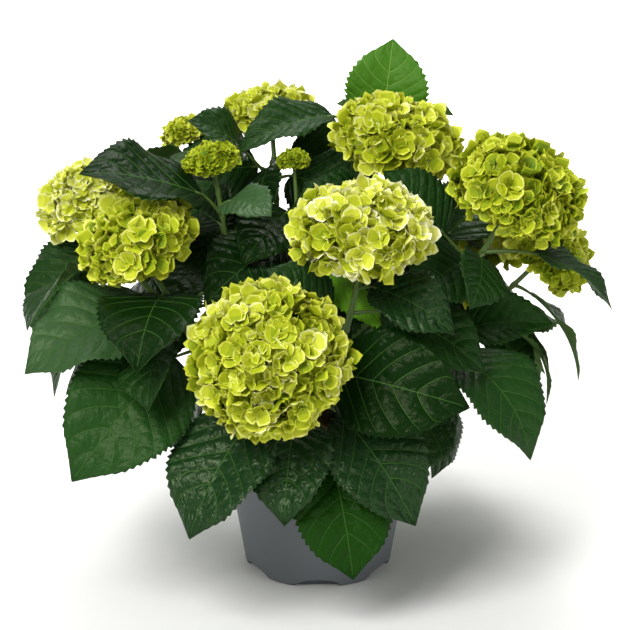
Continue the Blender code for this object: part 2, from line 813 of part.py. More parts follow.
def florets(stem, rng):
    """The florets of a flower head, standing out of its core."""
    size = max(0.6, min(1, stem.head_width / FULL_FLORETS))
    if stem.head_width < SMALLEST_HEAD:
        return
    for place, outward in floret_places(stem, FLORET_SPACING * size):
        tilt = Vector([rng.uniform(-0.25, 0.25) for _ in range(3)])
        aim = (outward + tilt).to_track_quat("Z", "Y").to_matrix().to_4x4()
        spin = Matrix.Rotation(rng.uniform(0, math.pi / 2), 4, "Z")
        cup = floret_mesh(FLORET_RADIUS * size, FLORET_DEPTH * size, FLORET_DIMPLE * size)
        cup.transform(Matrix.Translation(place) @ aim @ spin)
        for vert in cup.vertices:
            vert.co = drawn_in(stem, vert.co)
        yield cup


def make_foliage(name, stem, blades, collection, material, rng):
    """The leafy stem, its leaves and its flower head, fused."""
    meshes = [stem.tube("stem", LEAFLESS_SHARE + stem.gap_share(), 1, GREEN_STEPS, 0)]
    for blade in blades:
        meshes.append(blade.solid("blade", LEAF_THICKNESS))
        meshes.append(blade.petiole("petiole"))
    meshes.append(ellipsoid("core", stem, CORE_SHARE, 2))
    meshes.extend(florets(stem, rng))
    return united("foliage_" + name, meshes, material, collection)


def main():
    clear_scene()
    plant = new_collection("potted_hydrangea")
    cutters = new_collection("cutters")
    plastic = new_material("moulded polypropylene", (0.085, 0.095, 0.105), 0.5)
    soil = new_material("damp potting mix", (0.035, 0.022, 0.014), 0.95)
    bark = new_material("woody stem", (0.16, 0.11, 0.06), 0.8)
    green = new_material("leaf", (0.025, 0.085, 0.022), 0.45)
    make_potting_mix(plant, soil)
    make_crown(plant, bark)
    stems = {name: Stem(shoot) for name, shoot in SHOOTS.items()}
    grown, left_out = grow_leaves(stems)
    rng = random.Random(SEED)
    for name, stem in stems.items():
        make_cane(name, stem, plant, bark)
        make_foliage(name, stem, grown[name], plant, green, rng)
    make_container(plant, cutters, plastic)
    count = sum(len(blades) for blades in grown.values())
    print(f"{len(stems)} shoots, {count} leaves, left out: {left_out or 'none'}")


if __name__ == "__main__":
    main()
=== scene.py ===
# %% [markdown]
# # A mophead hydrangea in its nursery pot
# The plant is a small shrub: woody canes spring from one short crown in the soil, turn
# green after a third of their length, carry large toothed leaves, and end in round heads
# of lime florets. The solids of the plant are loaded first and stay where they are. Every
# piece made here stands for one or more of them and keeps to the same room.

# %% Load the solids
import math
import random
from dataclasses import dataclass

import bmesh
import bpy
from mathutils import Matrix, Vector, noise
from mathutils.bvhtree import BVHTree


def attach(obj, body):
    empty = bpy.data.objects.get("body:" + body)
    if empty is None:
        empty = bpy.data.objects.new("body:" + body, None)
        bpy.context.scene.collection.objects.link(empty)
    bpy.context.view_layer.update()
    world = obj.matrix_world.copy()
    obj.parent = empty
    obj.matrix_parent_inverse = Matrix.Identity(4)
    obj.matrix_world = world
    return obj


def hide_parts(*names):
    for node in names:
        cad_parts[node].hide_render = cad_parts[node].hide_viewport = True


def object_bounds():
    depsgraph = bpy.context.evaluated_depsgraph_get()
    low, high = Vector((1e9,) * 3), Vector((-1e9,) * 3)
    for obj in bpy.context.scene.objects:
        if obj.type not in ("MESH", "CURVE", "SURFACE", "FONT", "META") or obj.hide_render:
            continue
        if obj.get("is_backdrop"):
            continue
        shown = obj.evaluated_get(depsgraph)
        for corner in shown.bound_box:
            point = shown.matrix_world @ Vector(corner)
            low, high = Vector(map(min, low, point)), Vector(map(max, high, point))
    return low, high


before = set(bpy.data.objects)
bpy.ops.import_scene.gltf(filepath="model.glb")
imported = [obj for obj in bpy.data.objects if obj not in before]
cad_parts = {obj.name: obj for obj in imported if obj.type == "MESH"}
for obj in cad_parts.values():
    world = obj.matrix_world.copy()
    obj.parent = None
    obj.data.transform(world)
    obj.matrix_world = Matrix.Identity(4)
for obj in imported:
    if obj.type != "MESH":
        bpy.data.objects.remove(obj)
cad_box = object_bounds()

MM = 0.001
print("solids loaded:", len(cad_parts))

# %% [markdown]
# ## Small helpers
# A bmesh is a workbench for shapes: operators build in it, and it is written to a
# mesh when it is done. A few helpers cover every piece below. They turn a bmesh into a
# mesh and pour a mesh into a bmesh, give the mesh of an object as its modifiers leave it,
# and hang a finished piece on the plant's body in place of the solids it stands for.

# %% Helpers for meshes and pieces


def between(first, last, share):
    """The value at this share of the way from the first to the last."""
    return first + (last - first) * share


def crowded(place, share):
    """A grid's row, from -1 to 1, moved by up to this share towards its edge."""
    return place * (1 + share - share * place * place)


def new_mesh(bm, name):
    """Writes a bmesh to a new mesh."""
    mesh = bpy.data.meshes.new(name)
    bm.to_mesh(mesh)
    bm.free()
    return mesh


def mesh_from(bm, name):
    """Writes a bmesh to a new mesh, with its faces turned outwards."""
    bmesh.ops.recalc_face_normals(bm, faces=bm.faces)
    return new_mesh(bm, name)


def pour(mesh, bm):
    """Moves a mesh into a bmesh."""
    bm.from_mesh(mesh)
    bpy.data.meshes.remove(mesh)


def new_object(name, data):
    """Puts a mesh, curve, light or camera in the scene, at the origin."""
    made = bpy.data.objects.new(name, data)
    bpy.context.scene.collection.objects.link(made)
    return made


def evaluated_mesh(thing):
    """The mesh of an object as its modifiers or its curve leave it."""
    bpy.context.view_layer.update()
    graph = bpy.context.evaluated_depsgraph_get()
    return bpy.data.meshes.new_from_object(thing.evaluated_get(graph), depsgraph=graph)


def finish_piece(name, mesh, materials, slot, *nodes):
    """Gives a mesh its materials and hangs it on the plant in place of these solids."""
    for material in materials:
        mesh.materials.append(material)
    mesh.shade_smooth()
    piece = new_object(name, mesh)
    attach(piece, "root")
    if nodes:
        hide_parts(*nodes)
    print(f"{name}: {len(mesh.polygons)} faces")


# %% [markdown]
# ## Colours and nodes
# Colours are written as the hex values that a paint program shows, and one function turns
# them to the linear values that light is reckoned in. Materials are built from nodes, and
# one function adds any node with its settings and its links. Most finishes on the plant
# have a grain that runs through the whole piece, so one function makes noise of a size in
# millimetres and another lays it on as relief.

# %% Helpers for colours and nodes


def linear(hex_colour):
    """Turns an sRGB hex colour to linear red, green, blue and alpha."""
    parts = [int(hex_colour[i : i + 2], 16) / 255 for i in (1, 3, 5)]
    return (*[p / 12.92 if p <= 0.04045 else ((p + 0.055) / 1.055) ** 2.4 for p in parts], 1)


def add_node(tree, kind, settings=None, links=None):
    """Adds a node. Settings and links are by socket or by setting name."""
    node = tree.nodes.new(kind)
    for name, value in (settings or {}).items():
        if isinstance(name, int) or name in node.inputs:
            node.inputs[name].default_value = value
        else:
            setattr(node, name, value)
    for name, (source, output) in (links or {}).items():
        tree.links.new(source.outputs[output], node.inputs[name])
    return node


def new_material(name, colour, roughness, **more):
    """A material with one plain colour. Returns it, its node tree and its shader."""
    material = bpy.data.materials.new(name)
    material.use_nodes = True
    tree = material.node_tree
    shader = tree.nodes["Principled BSDF"]
    shader.inputs["Base Color"].default_value = linear(colour)
    shader.inputs["Roughness"].default_value = roughness
    for name, value in more.items():
        shader.inputs[name.replace("_", " ")].default_value = value
    return material, tree, shader


def piece_noise(tree, size, detail, squeeze=(1.0, 1.0, 1.0)):
    """Noise through a whole piece, in lumps of this size that may be squeezed."""
    place = add_node(tree, "ShaderNodeTexCoord")
    squeezed = add_node(
        tree, "ShaderNodeMapping", {"Scale": squeeze}, {"Vector": (place, "Object")}
    )
    return add_node(
        tree, "ShaderNodeTexNoise", {"Scale": 1 / size, "Detail": detail},
        {"Vector": (squeezed, "Vector")},
    )


def add_grain(tree, shader, lumps, strength, height):
    """Gives a finish relief of this height from that noise."""
    relief = add_node(
        tree, "ShaderNodeBump", {"Strength": strength, "Distance": height},
        {"Height": (lumps, "Fac")},
    )
    tree.links.new(relief.outputs["Normal"], shader.inputs["Normal"])


# %% [markdown]
# ## Leaf finish
# A hydrangea leaf is a thick, slightly waxy blade. Its upper side is dark green and
# quilted: the side veins lie in grooves and the flesh between them stands up in pillows,
# which are creased into puckers about 11 mm long. The pattern has to follow each blade, so
# it reads the blade's own UV map. There one unit across is one gap between side veins, so
# a wave texture along U has its low points on the veins, and one unit along is one pucker.
# The puckers are set off from pillow to pillow, as they are on the plant. The underside is
# paler and dull. The colour stays one plain value for each tone of leaf.

# %% Tones and relief of the leaves
LEAF_TONES = {  # colour, roughness, shine, height of the quilting in mm, share of fine crinkles
    # dark: the darkest green of old leaves; it is also given to leaves deep inside the plant as
    # painted shade
    "dark": ("#0b2407", 0.32, 0.12, 1.8, 0.25),
    "deep": ("#15340f", 0.42, 0.22, 1.8, 0.35),
    "mid": ("#1c4015", 0.42, 0.25, 1.6, 0.3),
    "blue": ("#163316", 0.28, 0.34, 2.4, 0.3),
    # grey: a paler, greyer green that is painted sheen, the wax's glint on leaves tipped up to
    # the light, on top of its real shine
    "grey": ("#304e2a", 0.40, 0.26, 1.4, 0.25),
    "lush": ("#133a06", 0.40, 0.16, 2.0, 0.25),
    "bright": ("#3f6f18", 0.48, 0.25, 1.4, 0.3),
    # fresh: the pale green of a young leaf, lightened further as painted light against the shade
    # it lies in
    "fresh": ("#72b224", 0.50, 0.25, 1.0, 0.1),
}
LEAF_PARTS = {
    "leaf underside": ("#4a6a30", 0.7, 0.2, 1.0, 0.3),
    "leaf vein": ("#3c6127", 0.55, 0.2, 0.1, 0.1),
    "young leaf vein": ("#86a850", 0.55, 0.2, 0.1, 0.1),
}
LEAF_SHEEN = "#d3e2b4"  # the tint of the wax, faintly green
ONE_WAVE = 0.31416  # scale at which a wave texture has one wave in each unit
PILLOW_POWER = 0.6  # below 1 makes broad pillows between narrow grooves
PUCKER_OFFSET = 0.37  # share of a pucker by which each pillow's are set off from the last
CREASE_DEPTH = 1.1  # of the creases round the puckers, in heights of a pillow
CRINKLE_SIZE = 5.263 * MM
CRINKLE_HEIGHT = 3  # at a share of 1, in heights of a pillow
GLOSS_SPREAD = (-0.08, 0.12)  # roughness on and off the crinkles
print("tones of leaf:", *LEAF_TONES)

# %% Leaf materials


def leaf_material(name, colour, roughness, shine, height, crinkle):
    """Waxy leaf: pillows between the veins, creased into puckers, and fine crinkles."""
    material, tree, shader = new_material(
        name, colour, roughness, Specular_IOR_Level=shine, Specular_Tint=linear(LEAF_SHEEN)
    )
    blade = add_node(tree, "ShaderNodeUVMap", {"uv_map": "blade"})
    pillow = add_node(
        tree, "ShaderNodeTexWave",
        {"bands_direction": "X", "Scale": ONE_WAVE, "Distortion": 0.7, "Detail Scale": 3.0},
        {"Vector": (blade, "UV")},
    )
    puffed = add_node(
        tree, "ShaderNodeMath", {"operation": "POWER", 1: PILLOW_POWER}, {0: (pillow, "Fac")}
    )
    parts = add_node(tree, "ShaderNodeSeparateXYZ", None, {"Vector": (blade, "UV")})
    gap = add_node(tree, "ShaderNodeMath", {"operation": "FLOOR"}, {0: (parts, "X")})
    offset = add_node(
        tree, "ShaderNodeMath", {"operation": "MULTIPLY_ADD", 1: PUCKER_OFFSET},
        {0: (gap, "Value"), 2: (parts, "Y")},
    )
    shifted = add_node(
        tree, "ShaderNodeCombineXYZ", None, {"X": (parts, "X"), "Y": (offset, "Value")}
    )
    cells = add_node(
        tree, "ShaderNodeTexVoronoi", {"Scale": 1.0, "Randomness": 0.8},
        {"Vector": (shifted, "Vector")},
    )
    creases = add_node(
        tree, "ShaderNodeMath", {"operation": "POWER", 1: 2.0}, {0: (cells, "Distance")}
    )
    creased = add_node(
        tree, "ShaderNodeMath", {"operation": "MULTIPLY"},
        {0: (creases, "Value"), 1: (pillow, "Fac")},
    )
    crinkles = piece_noise(tree, CRINKLE_SIZE, 3.0)
    body = add_node(
        tree, "ShaderNodeMath", {"operation": "MULTIPLY_ADD", 1: -CREASE_DEPTH},
        {0: (creased, "Value"), 2: (puffed, "Value")},
    )
    relief = add_node(
        tree, "ShaderNodeMath", {"operation": "MULTIPLY_ADD", 1: CRINKLE_HEIGHT * crinkle},
        {0: (crinkles, "Fac"), 2: (body, "Value")},
    )
    bump = add_node(
        tree, "ShaderNodeBump", {"Strength": 0.9, "Distance": height * MM},
        {"Height": (relief, "Value")},
    )
    least, most = [roughness + change for change in GLOSS_SPREAD]
    gloss = add_node(
        tree, "ShaderNodeMapRange", {"To Min": least, "To Max": most},
        {"Value": (crinkles, "Fac")},
    )
    tree.links.new(bump.outputs["Normal"], shader.inputs["Normal"])
    tree.links.new(gloss.outputs["Result"], shader.inputs["Roughness"])
    return material


leaf_materials = [leaf_material(f"leaf {tone}", *look) for tone, look in LEAF_TONES.items()]
leaf_materials += [leaf_material(part, *look) for part, look in LEAF_PARTS.items()]
UNDERSIDE, VEIN, YOUNG_VEIN = range(len(LEAF_TONES), len(leaf_materials))
print("leaf materials:", len(leaf_materials))

# %% [markdown]
# ## Floret finish
# What look like petals are sepals, thin and soft as cloth. Each floret is greenest in its
# throat and fades to a cream edge. So the materials are nine steps of one ramp from leaf
# green to cream, and a floret takes three of them, for its throat, face and edge. The
# veins of a sepal lie half a millimetre apart, too fine to show, so the crumple that they
# give it is drawn a little over 2 mm wide.

# %% Floret materials
SEPAL_RAMP = (
    "#587c12", "#768f16", "#91a318", "#a9b41c", "#bcc42c", "#ced344", "#dcdf6c", "#e9ea9e",
    "#f3f2cc",
)
CRUMPLE_SIZE = 2.381 * MM


def sepal_material(name, colour):
    """Soft sepal: dull, with the faint crumple of its fine veins."""
    material, tree, shader = new_material(name, colour, 0.6, Specular_IOR_Level=0.2)
    add_grain(tree, shader, piece_noise(tree, CRUMPLE_SIZE, 2.0), 0.4, 0.8 * MM)
    return material


sepal_materials = [
    sepal_material(f"sepal step {step}", colour) for step, colour in enumerate(SEPAL_RAMP)
]
print("sepal materials:", len(sepal_materials))

# %% [markdown]
# ## The rule that the plant grows by
# Each shoot follows one smooth curve from the crown to its flower head. Its leaves stand
# on it by a table of turns and pitches. The same rule made the solids, so writing it again
# here puts every leaf in its own room.

# %% Sizes
SEED = 7
GAP = 0.3 * MM  # between solids that meet in the real plant
POT_HEIGHT = 150 * MM
POT_TOP_RADIUS = 100 * MM
POT_BASE_RADIUS = 72.5 * MM
MIX_BELOW_RIM = 12 * MM  # the soil at the wall
MIX_CROWNING = 3 * MM  # how much higher it stands in the middle
KNUCKLE_RADIUS = 21 * MM  # the knob of old wood that every shoot leaves
KNUCKLE_HEIGHT = 32 * MM  # of its middle above the soil
print("pot height", POT_HEIGHT, "m")

# %% A leaf, and a shoot
LEAF_WIDTH = 0.66
LEAF_BEND = 0.10
LEAF_FOLD = 15
LEAN = 0.9
PAIR_PITCH = (-56, -12)  # degrees, of pairs at a shoot's foot and at its top
PAIR_PETIOLE = 26  # mm


@dataclass(frozen=True)
class Leaf:
    """A leaf: where it stands on its shoot, and how its blade lies."""

    up: float  # share of the shoot's length
    azimuth: float  # degrees from +X towards +Y
    pitch: float  # degrees above the horizon, from the blade's foot to its tip
    length: float  # of the blade, mm
    petiole: float = 20  # mm
    facing: float = None  # azimuth the blade turns to from the sky, outwards if not given
    lean: float = LEAN  # how strongly it does
    width: float = LEAF_WIDTH  # share of the length
    bend: float = LEAF_BEND  # how high the midrib arches above its chord, share of length
    fold: float = LEAF_FOLD  # degrees by which each half rises from the midrib
    tone: str = "deep"  # which leaf material it takes


@dataclass(frozen=True)
class Shoot:
    """A shoot: its flower head's middle and size (mm), the way it faces, and its leaves."""

    head: tuple
    size: tuple  # width and height of the head
    faces: tuple  # azimuth and pitch of the head's axis, degrees
    leaves: tuple  # one by one
    pairs: tuple = ()  # (share of the length, azimuth of one of the two, length in mm)
    leaving: tuple = ()  # azimuth and pitch at the crown, where the rule's are not wanted

    def paired_leaves(self):
        """Opposite leaves, which droop more the lower they stand."""
        for up, azimuth, length in self.pairs:
            pitch = between(*PAIR_PITCH, up)
            yield Leaf(up, azimuth, pitch, length, PAIR_PETIOLE)
            yield Leaf(up, azimuth + 180, pitch, length, PAIR_PETIOLE)


print("a leaf is", LEAF_WIDTH, "as wide as long")

# %% The table of shoots
SHOOTS = {
    "front": Shoot(
        (-46, -160, 271), (155, 128), (-100, 35),
        (
            Leaf(0.62, -20, -8, 138, 42, -90, 2.0, tone="dark"),
            Leaf(0.56, -134, -47, 136, 45, tone="blue"),
            Leaf(0.55, -34, -48, 128, 50, tone="blue"),
            Leaf(0.38, -66, -64, 120, 70, width=0.70, tone="lush"),
            Leaf(0.42, -105, -36, 110, 40, tone="blue"),
        ),
        leaving=(-95, 14),
    ),
    "middle": Shoot(
        (40, -95, 372), (138, 82), (-70, 80),
        (
            Leaf(0.80, -24, -14, 92, 12, -70, 0.8, tone="blue"),
            Leaf(0.50, -178, 36, 74, 20, -90, 1.0),
        ),
        ((0.62, 40, 115),),
    ),
    "right": Shoot(
        (188, -20, 390), (131, 100), (-10, 65),
        (
            Leaf(0.76, 173, 46, 86, 40, -90, 0.8),
            Leaf(0.84, -15, -23, 95, 45),
            Leaf(0.84, -100, -25, 75, 20),
            Leaf(0.36, -38, -41, 128, 45, -50, 1.4, bend=0.18, tone="mid"),
            Leaf(0.78, -130, -2, 95, 12, -90, 1.5),
        ),
    ),
    "far_right": Shoot(
        (227, 45, 310), (96, 74), (5, 45),
        (
            Leaf(0.90, -19, -57, 102, 14),
            Leaf(0.54, -17, 10, 92, 12, -90, 1.0, fold=35, tone="mid"),
            Leaf(0.68, 2, -54, 105, 12, width=0.3, bend=0.2),
            Leaf(0.62, 20, -44, 90, 12, -60, 1.0),
        ),
        ((0.80, 70, 115), (0.42, 75, 130)),
        leaving=(16, 8),
    ),
    "left": Shoot(
        (-171, -60, 354), (116, 72), (-150, 65),
        (
            Leaf(0.50, -139, -37, 155, 40, -90, 1.5, tone="mid"),
            Leaf(0.80, -82, -13, 130, 16, -100, 1.0, tone="dark"),
            # painted sheen: the grey tone paints the glint this leaf catches
            Leaf(0.72, -155, -12, 138, 24, -110, 0.7, tone="grey"),
            Leaf(0.64, 173, -42, 110, 40),
        ),
        ((0.66, 100, 110),),
        leaving=(-146, 20),
    ),
    "far_left": Shoot(
        (-225, 50, 363), (100, 78), (165, 62),
        (
            Leaf(0.66, -138, -49, 110, 40),
            Leaf(0.88, 176, -39, 112, 12, -100, 1.0),
        ),
        ((0.82, 75, 120), (0.56, 110, 140)),
    ),
    "top": Shoot(
        (78, 66, 418), (133, 85), (20, 80),
        (
            Leaf(0.90, -125, -24, 100, 20, -90, 0.5),
            Leaf(0.62, -46, -16, 120, 12, -90, 1.5),
            Leaf(0.78, -158, 12, 84, 16, -90, 1.0),
        ),
        ((0.66, 120, 120), (0.55, 20, 120)),
        leaving=(30, 58),
    ),
    "leafy_top": Shoot(
        (62, 142, 430), (9, 18), (70, 85),
        (
            Leaf(0.92, 60, 76, 92, 12, -90, 2.0, 0.8, tone="bright"),
            Leaf(0.95, -150, -12, 112, 56, -90, 0.5, 0.5, fold=30),
            Leaf(0.88, 130, 24, 50, 24),
            Leaf(0.90, 30, 6, 72, 24),
        ),
        ((0.62, 150, 120),),
        leaving=(58, 36),
    ),
    "top_left": Shoot(
        (-48, 150, 428), (92, 52), (115, 80),
        (
            Leaf(0.76, -152, 32, 82, 52, -90, 0.7),
            Leaf(0.88, -94, -30, 96, 36, 180, tone="dark"),
            Leaf(0.72, -109, -21, 85, 20, -90, tone="dark"),
            Leaf(0.80, -30, -8, 115, 16, -90, 1.0),
            Leaf(0.82, 178, -8, 100, 16, -90, 1.5),
            Leaf(0.86, 12, -10, 105, 14, -90, 2.0),
            Leaf(0.66, -178, -12, 115, 20, -90, 1.0),
        ),
        leaving=(124, 50),
    ),
    "small_left": Shoot(
        (-101, -10, 419), (56, 28), (-170, 80),
        (
            Leaf(0.80, -158, 10, 132, 30, -90, 0.4, bend=0.04, tone="dark"),
            # painted sheen: the grey tone paints the glint this leaf catches
            Leaf(0.84, -50, 0, 66, 12, -90, 0.7, tone="grey"),
            Leaf(0.90, 140, 8, 80, 12, -90, 0.7),
            # painted shade: this leaf deep inside the plant takes the dark tone for the shade it
            # lies in
            Leaf(0.70, 100, -15, 100, 20, tone="dark"),
        ),
        leaving=(-168, 40),
    ),
    "small_back": Shoot(
        (-134, 150, 407), (54, 34), (140, 70),
        (
            Leaf(0.92, -119, 9, 70, 12),
        ),
        ((0.86, 75, 110), (0.52, 110, 130)),
    ),
    "small_middle": Shoot(
        (-24, 40, 405), (34, 24), (120, 80),
        (
            Leaf(0.80, -124, -24, 85, 12, -90, tone="dark"),
            # painted shade: this leaf deep inside the plant takes the dark tone for the shade it
            # lies in
            Leaf(0.62, -150, -10, 110, 20, -90, tone="dark"),
            # painted light: the young leaf's tone is lightened to make up for the shade it lies
            # in
            Leaf(0.56, -44, -25, 114, 8, -70, 1.2, 0.36, 0.14, -35, tone="fresh"),
        ),
        leaving=(180, 76),
    ),
    "leafy_left": Shoot(
        (-100, 70, 325), (9, 18), (-160, 70),
        (
            Leaf(0.96, -75, -20, 110, 20, -90),
        ),
        ((0.62, 100, 130),),
        leaving=(156, 46),
    ),
    "leafy_right": Shoot(
        (120, 45, 318), (9, 18), (-20, 75),
        (
            Leaf(0.96, 60, 4, 105, 20),
            Leaf(0.70, 95, -24, 110, 26),
        ),
        leaving=(-20, 66),
    ),
    "back": Shoot(
        (24, 205, 288), (122, 86), (82, 45), (), ((0.74, 40, 115), (0.58, 95, 145)), (90, 22)
    ),
    "back_right": Shoot(
        (168, 142, 312), (116, 82), (42, 55), (), ((0.74, 110, 115), (0.56, 20, 130)), (40, 14)
    ),
    "back_left": Shoot(
        (-134, 178, 264), (112, 82), (125, 42), (), ((0.80, 30, 120), (0.60, 120, 150)), (118, 2)
    ),
    "back_low": Shoot(
        (138, 224, 222), (108, 78), (58, 35), (), ((0.78, 165, 120), (0.54, 80, 150)), (60, 2)
    ),
}
print("shoots:", len(SHOOTS))

# %% Tubes
MERGE = 0.01 * MM  # points closer than this become one


def tubes_mesh(name, runs, sides_setting):
    """Closed round tubes, each along its points with its radii, from one bevelled curve."""
    curve = bpy.data.curves.new(name, "CURVE")
    curve.dimensions = "3D"
    curve.bevel_depth = 1.0
    curve.bevel_resolution = sides_setting
    curve.use_fill_caps = True
    for points, radii in runs:
        spline = curve.splines.new("POLY")
        spline.points.add(len(points) - 1)
        for point, place, radius in zip(spline.points, points, radii):
            point.co = (*place, 1)
            point.radius = radius
    thing = new_object(name, curve)
    bm = bmesh.new()
    pour(evaluated_mesh(thing), bm)
    bpy.data.objects.remove(thing)
    bpy.data.curves.remove(curve)
    bmesh.ops.remove_doubles(bm, verts=bm.verts, dist=MERGE)
    return mesh_from(bm, name)


def tube_mesh(name, points, radii, sides_setting):
    """One closed round tube."""
    return tubes_mesh(name, [(points, radii)], sides_setting)


print("points of a tube merge within", MERGE, "m")

# %% The curve of a shoot
CANE_RADIUS = 3.9 * MM  # at the crown
STALK_RADIUS = 2.5 * MM  # under a large flower head
LEAFLESS_SHARE = 0.3  # of each shoot's length, which is bare wood
CROWN_PULL = 0.38  # how far a shoot keeps the direction in which it leaves the crown
HEAD_PULL = 0.34  # and that in which it enters its flower head
HEAD_FOOT = 0.30  # of the head's height, from its middle down to the end of the shoot
STEEPEST = 78  # degrees above the horizon, for a shoot that rises over the crown
SPREAD = 62  # degrees less for one whose head stands this far out or further
FAR_OUT = 240 * MM
STEM_STEPS = 20
STEP_EASE = 1.6  # above 1 makes the steps shorter towards the crown


def direction(azimuth, pitch):
    """The unit vector at these degrees from +X and above the horizon."""
    a, p = math.radians(azimuth), math.radians(pitch)
    return Vector((math.cos(p) * math.cos(a), math.cos(p) * math.sin(a), math.sin(p)))


def mix_top():
    """The height of the soil at the middle, where the crown stands."""
    return POT_HEIGHT - MIX_BELOW_RIM + MIX_CROWNING


def knuckle_centre():
    """The middle of the knob that every shoot leaves."""
    return Vector((0, 0, mix_top() + GAP + KNUCKLE_HEIGHT))


class Stem:
    """A shoot's smooth curve from the crown's knuckle to the foot of its flower head."""

    def __init__(self, shoot):
        self.shoot = shoot
        self.centre = Vector(shoot.head) * MM
        self.axis = direction(*shoot.faces)
        self.head_width, self.head_height = [length * MM for length in shoot.size]
        self.start_direction = self.leaving_direction()
        start = knuckle_centre() + self.start_direction * (KNUCKLE_RADIUS + GAP)
        end = self.centre - self.axis * self.head_height * HEAD_FOOT
        reach = (end - start).length
        self.controls = (
            start,
            start + self.start_direction * reach * CROWN_PULL,
            end - self.axis * reach * HEAD_PULL,
            end,
        )

    def leaving_direction(self):
        """Flatter, the further out the head stands."""
        if self.shoot.leaving:
            return direction(*self.shoot.leaving)
        reach = math.hypot(self.centre.x, self.centre.y)
        azimuth = math.degrees(math.atan2(self.centre.y, self.centre.x))
        return direction(azimuth, STEEPEST - SPREAD * min(1, reach / FAR_OUT))

    def at(self, share):
        """The point at a share of the curve."""
        a, b, c, d = self.controls
        t, s = share, 1 - share
        return a * s**3 + b * 3 * s * s * t + c * 3 * s * t * t + d * t**3

    def radius(self, share):
        """Thinner towards the head, and more so under a small one."""
        thin = STALK_RADIUS * min(1, 0.5 + self.head_width / (200 * MM))
        return between(CANE_RADIUS, thin, share)

    def tube(self, name, first, last, steps, sides_setting=1):
        """The solid between two shares of the length, in shorter steps towards the first."""
        shares = [between(first, last, (i / steps) ** STEP_EASE) for i in range(steps + 1)]
        radii = [self.radius(share) for share in shares]
        return tube_mesh(name, [self.at(share) for share in shares], radii, sides_setting)


print("knuckle at", knuckle_centre())

# %% The surface of a leaf
LEAF_THICKNESS = 1.7 * MM  # of the solids' blades, which the search for room goes by
LEAF_OUTLINE = ((0.0, 0.10), (0.18, 0.76), (0.42, 1.0), (0.72, 0.76), (1.0, 0.0))
PETIOLE_RADIUS = 1.7 * MM  # at the blade
PETIOLE_TAPER = 1.25  # how many times thicker it is at the shoot
PETIOLE_LIFT = 35  # degrees by which a leaf stalk rises above its blade's pitch
PETIOLE_STEEPEST = 50
PETIOLE_END = 0.08  # share of the blade that the leaf stalk is sunk into


class Blade:
    """A leaf's surface, as a function of the share along it and the share across it."""

    def __init__(self, stem, leaf, turn=0.0, tilt=0.0):
        azimuth, pitch = leaf.azimuth + turn, leaf.pitch + tilt
        self.length = leaf.length * MM
        self.width = self.length * leaf.width
        self.bend = self.length * leaf.bend
        self.fold = math.radians(leaf.fold)
        self.up, self.tone = leaf.up, leaf.tone
        self.node = stem.at(leaf.up)
        lifted = direction(azimuth, min(PETIOLE_STEEPEST, pitch + PETIOLE_LIFT))
        self.foot = self.node + lifted * (leaf.petiole * MM + stem.radius(leaf.up))
        self.along = direction(azimuth, pitch)
        outside = math.degrees(math.atan2(self.foot.y, self.foot.x))
        facing = outside if leaf.facing is None else leaf.facing
        sky = Vector((0, 0, 1)) + direction(facing, 0) * leaf.lean
        self.face = (sky - self.along * sky.dot(self.along)).normalized()
        self.side = self.face.cross(self.along)

    def half_width(self, t):
        """From the midrib to the margin, at share t of the length."""
        for (t0, w0), (t1, w1) in zip(LEAF_OUTLINE, LEAF_OUTLINE[1:]):
            if t <= t1:
                return self.width / 2 * between(w0, w1, (t - t0) / (t1 - t0))
        return 0.0

    def point(self, t, across):
        """Share t along the midrib, and across from -1 at one margin to 1 at the other."""
        wide = self.half_width(t)
        arch = self.bend * 4 * t * (1 - t)
        sideways = self.side * wide * across * math.cos(self.fold)
        upwards = self.face * (arch + wide * abs(across) * math.sin(self.fold))
        return self.foot + self.along * self.length * t + sideways + upwards

    def solid(self, name, thickness):
        """A closed plate of that thickness round the surface."""
        rows = len(LEAF_OUTLINE) - 1
        bm = bmesh.new()
        bmesh.ops.create_grid(bm, x_segments=2, y_segments=rows, size=1)
        for vert in bm.verts:
            row = round((vert.co.y + 1) / 2 * rows)
            vert.co = self.point(LEAF_OUTLINE[row][0], vert.co.x)
        bmesh.ops.remove_doubles(bm, verts=bm.verts, dist=0.1 * MM)
        bmesh.ops.recalc_face_normals(bm, faces=bm.faces)
        bmesh.ops.translate(bm, verts=bm.verts, vec=self.face * thickness / 2)
        bmesh.ops.solidify(bm, geom=bm.faces[:], thickness=thickness)
        bmesh.ops.triangulate(bm, faces=bm.faces)
        return mesh_from(bm, name)

    def petiole(self, name, start=0.0):
        """The leaf stalk, rooted in the shoot and sunk into the blade, or its outer part."""
        ends = (self.node.lerp(self.foot, start), self.point(PETIOLE_END, 0))
        return tube_mesh(name, ends, (PETIOLE_RADIUS * PETIOLE_TAPER, PETIOLE_RADIUS), 0)


print("blades follow", len(LEAF_OUTLINE), "stations")

# %% Bodies that leaves keep clear of
CLEARANCE = 2.0 * MM  # kept on each side of a blade
POT_ROOM = 3 * MM
HEAD_ROOM = 1.06  # in sizes of the flower head
SMALLEST_HEAD = 20 * MM  # what is narrower is a bud and has no florets


def tree_of(mesh):
    """A search tree of a mesh, for tests of contact."""
    bm = bmesh.new()
    pour(mesh, bm)
    tree = BVHTree.FromBMesh(bm)
    bm.free()
    return tree


def ellipsoid(name, stem, share, subdivisions):
    """The flower head's outer shape, scaled by share."""
    bm = bmesh.new()
    bmesh.ops.create_icosphere(bm, subdivisions=subdivisions, radius=1)
    half = stem.head_width / 2 * share
    stretch = Matrix.Diagonal((half, half, stem.head_height / 2 * share, 1))
    aim = stem.axis.to_track_quat("Z", "Y").to_matrix().to_4x4()
    bm.transform(Matrix.Translation(stem.centre) @ aim @ stretch)
    return mesh_from(bm, name)


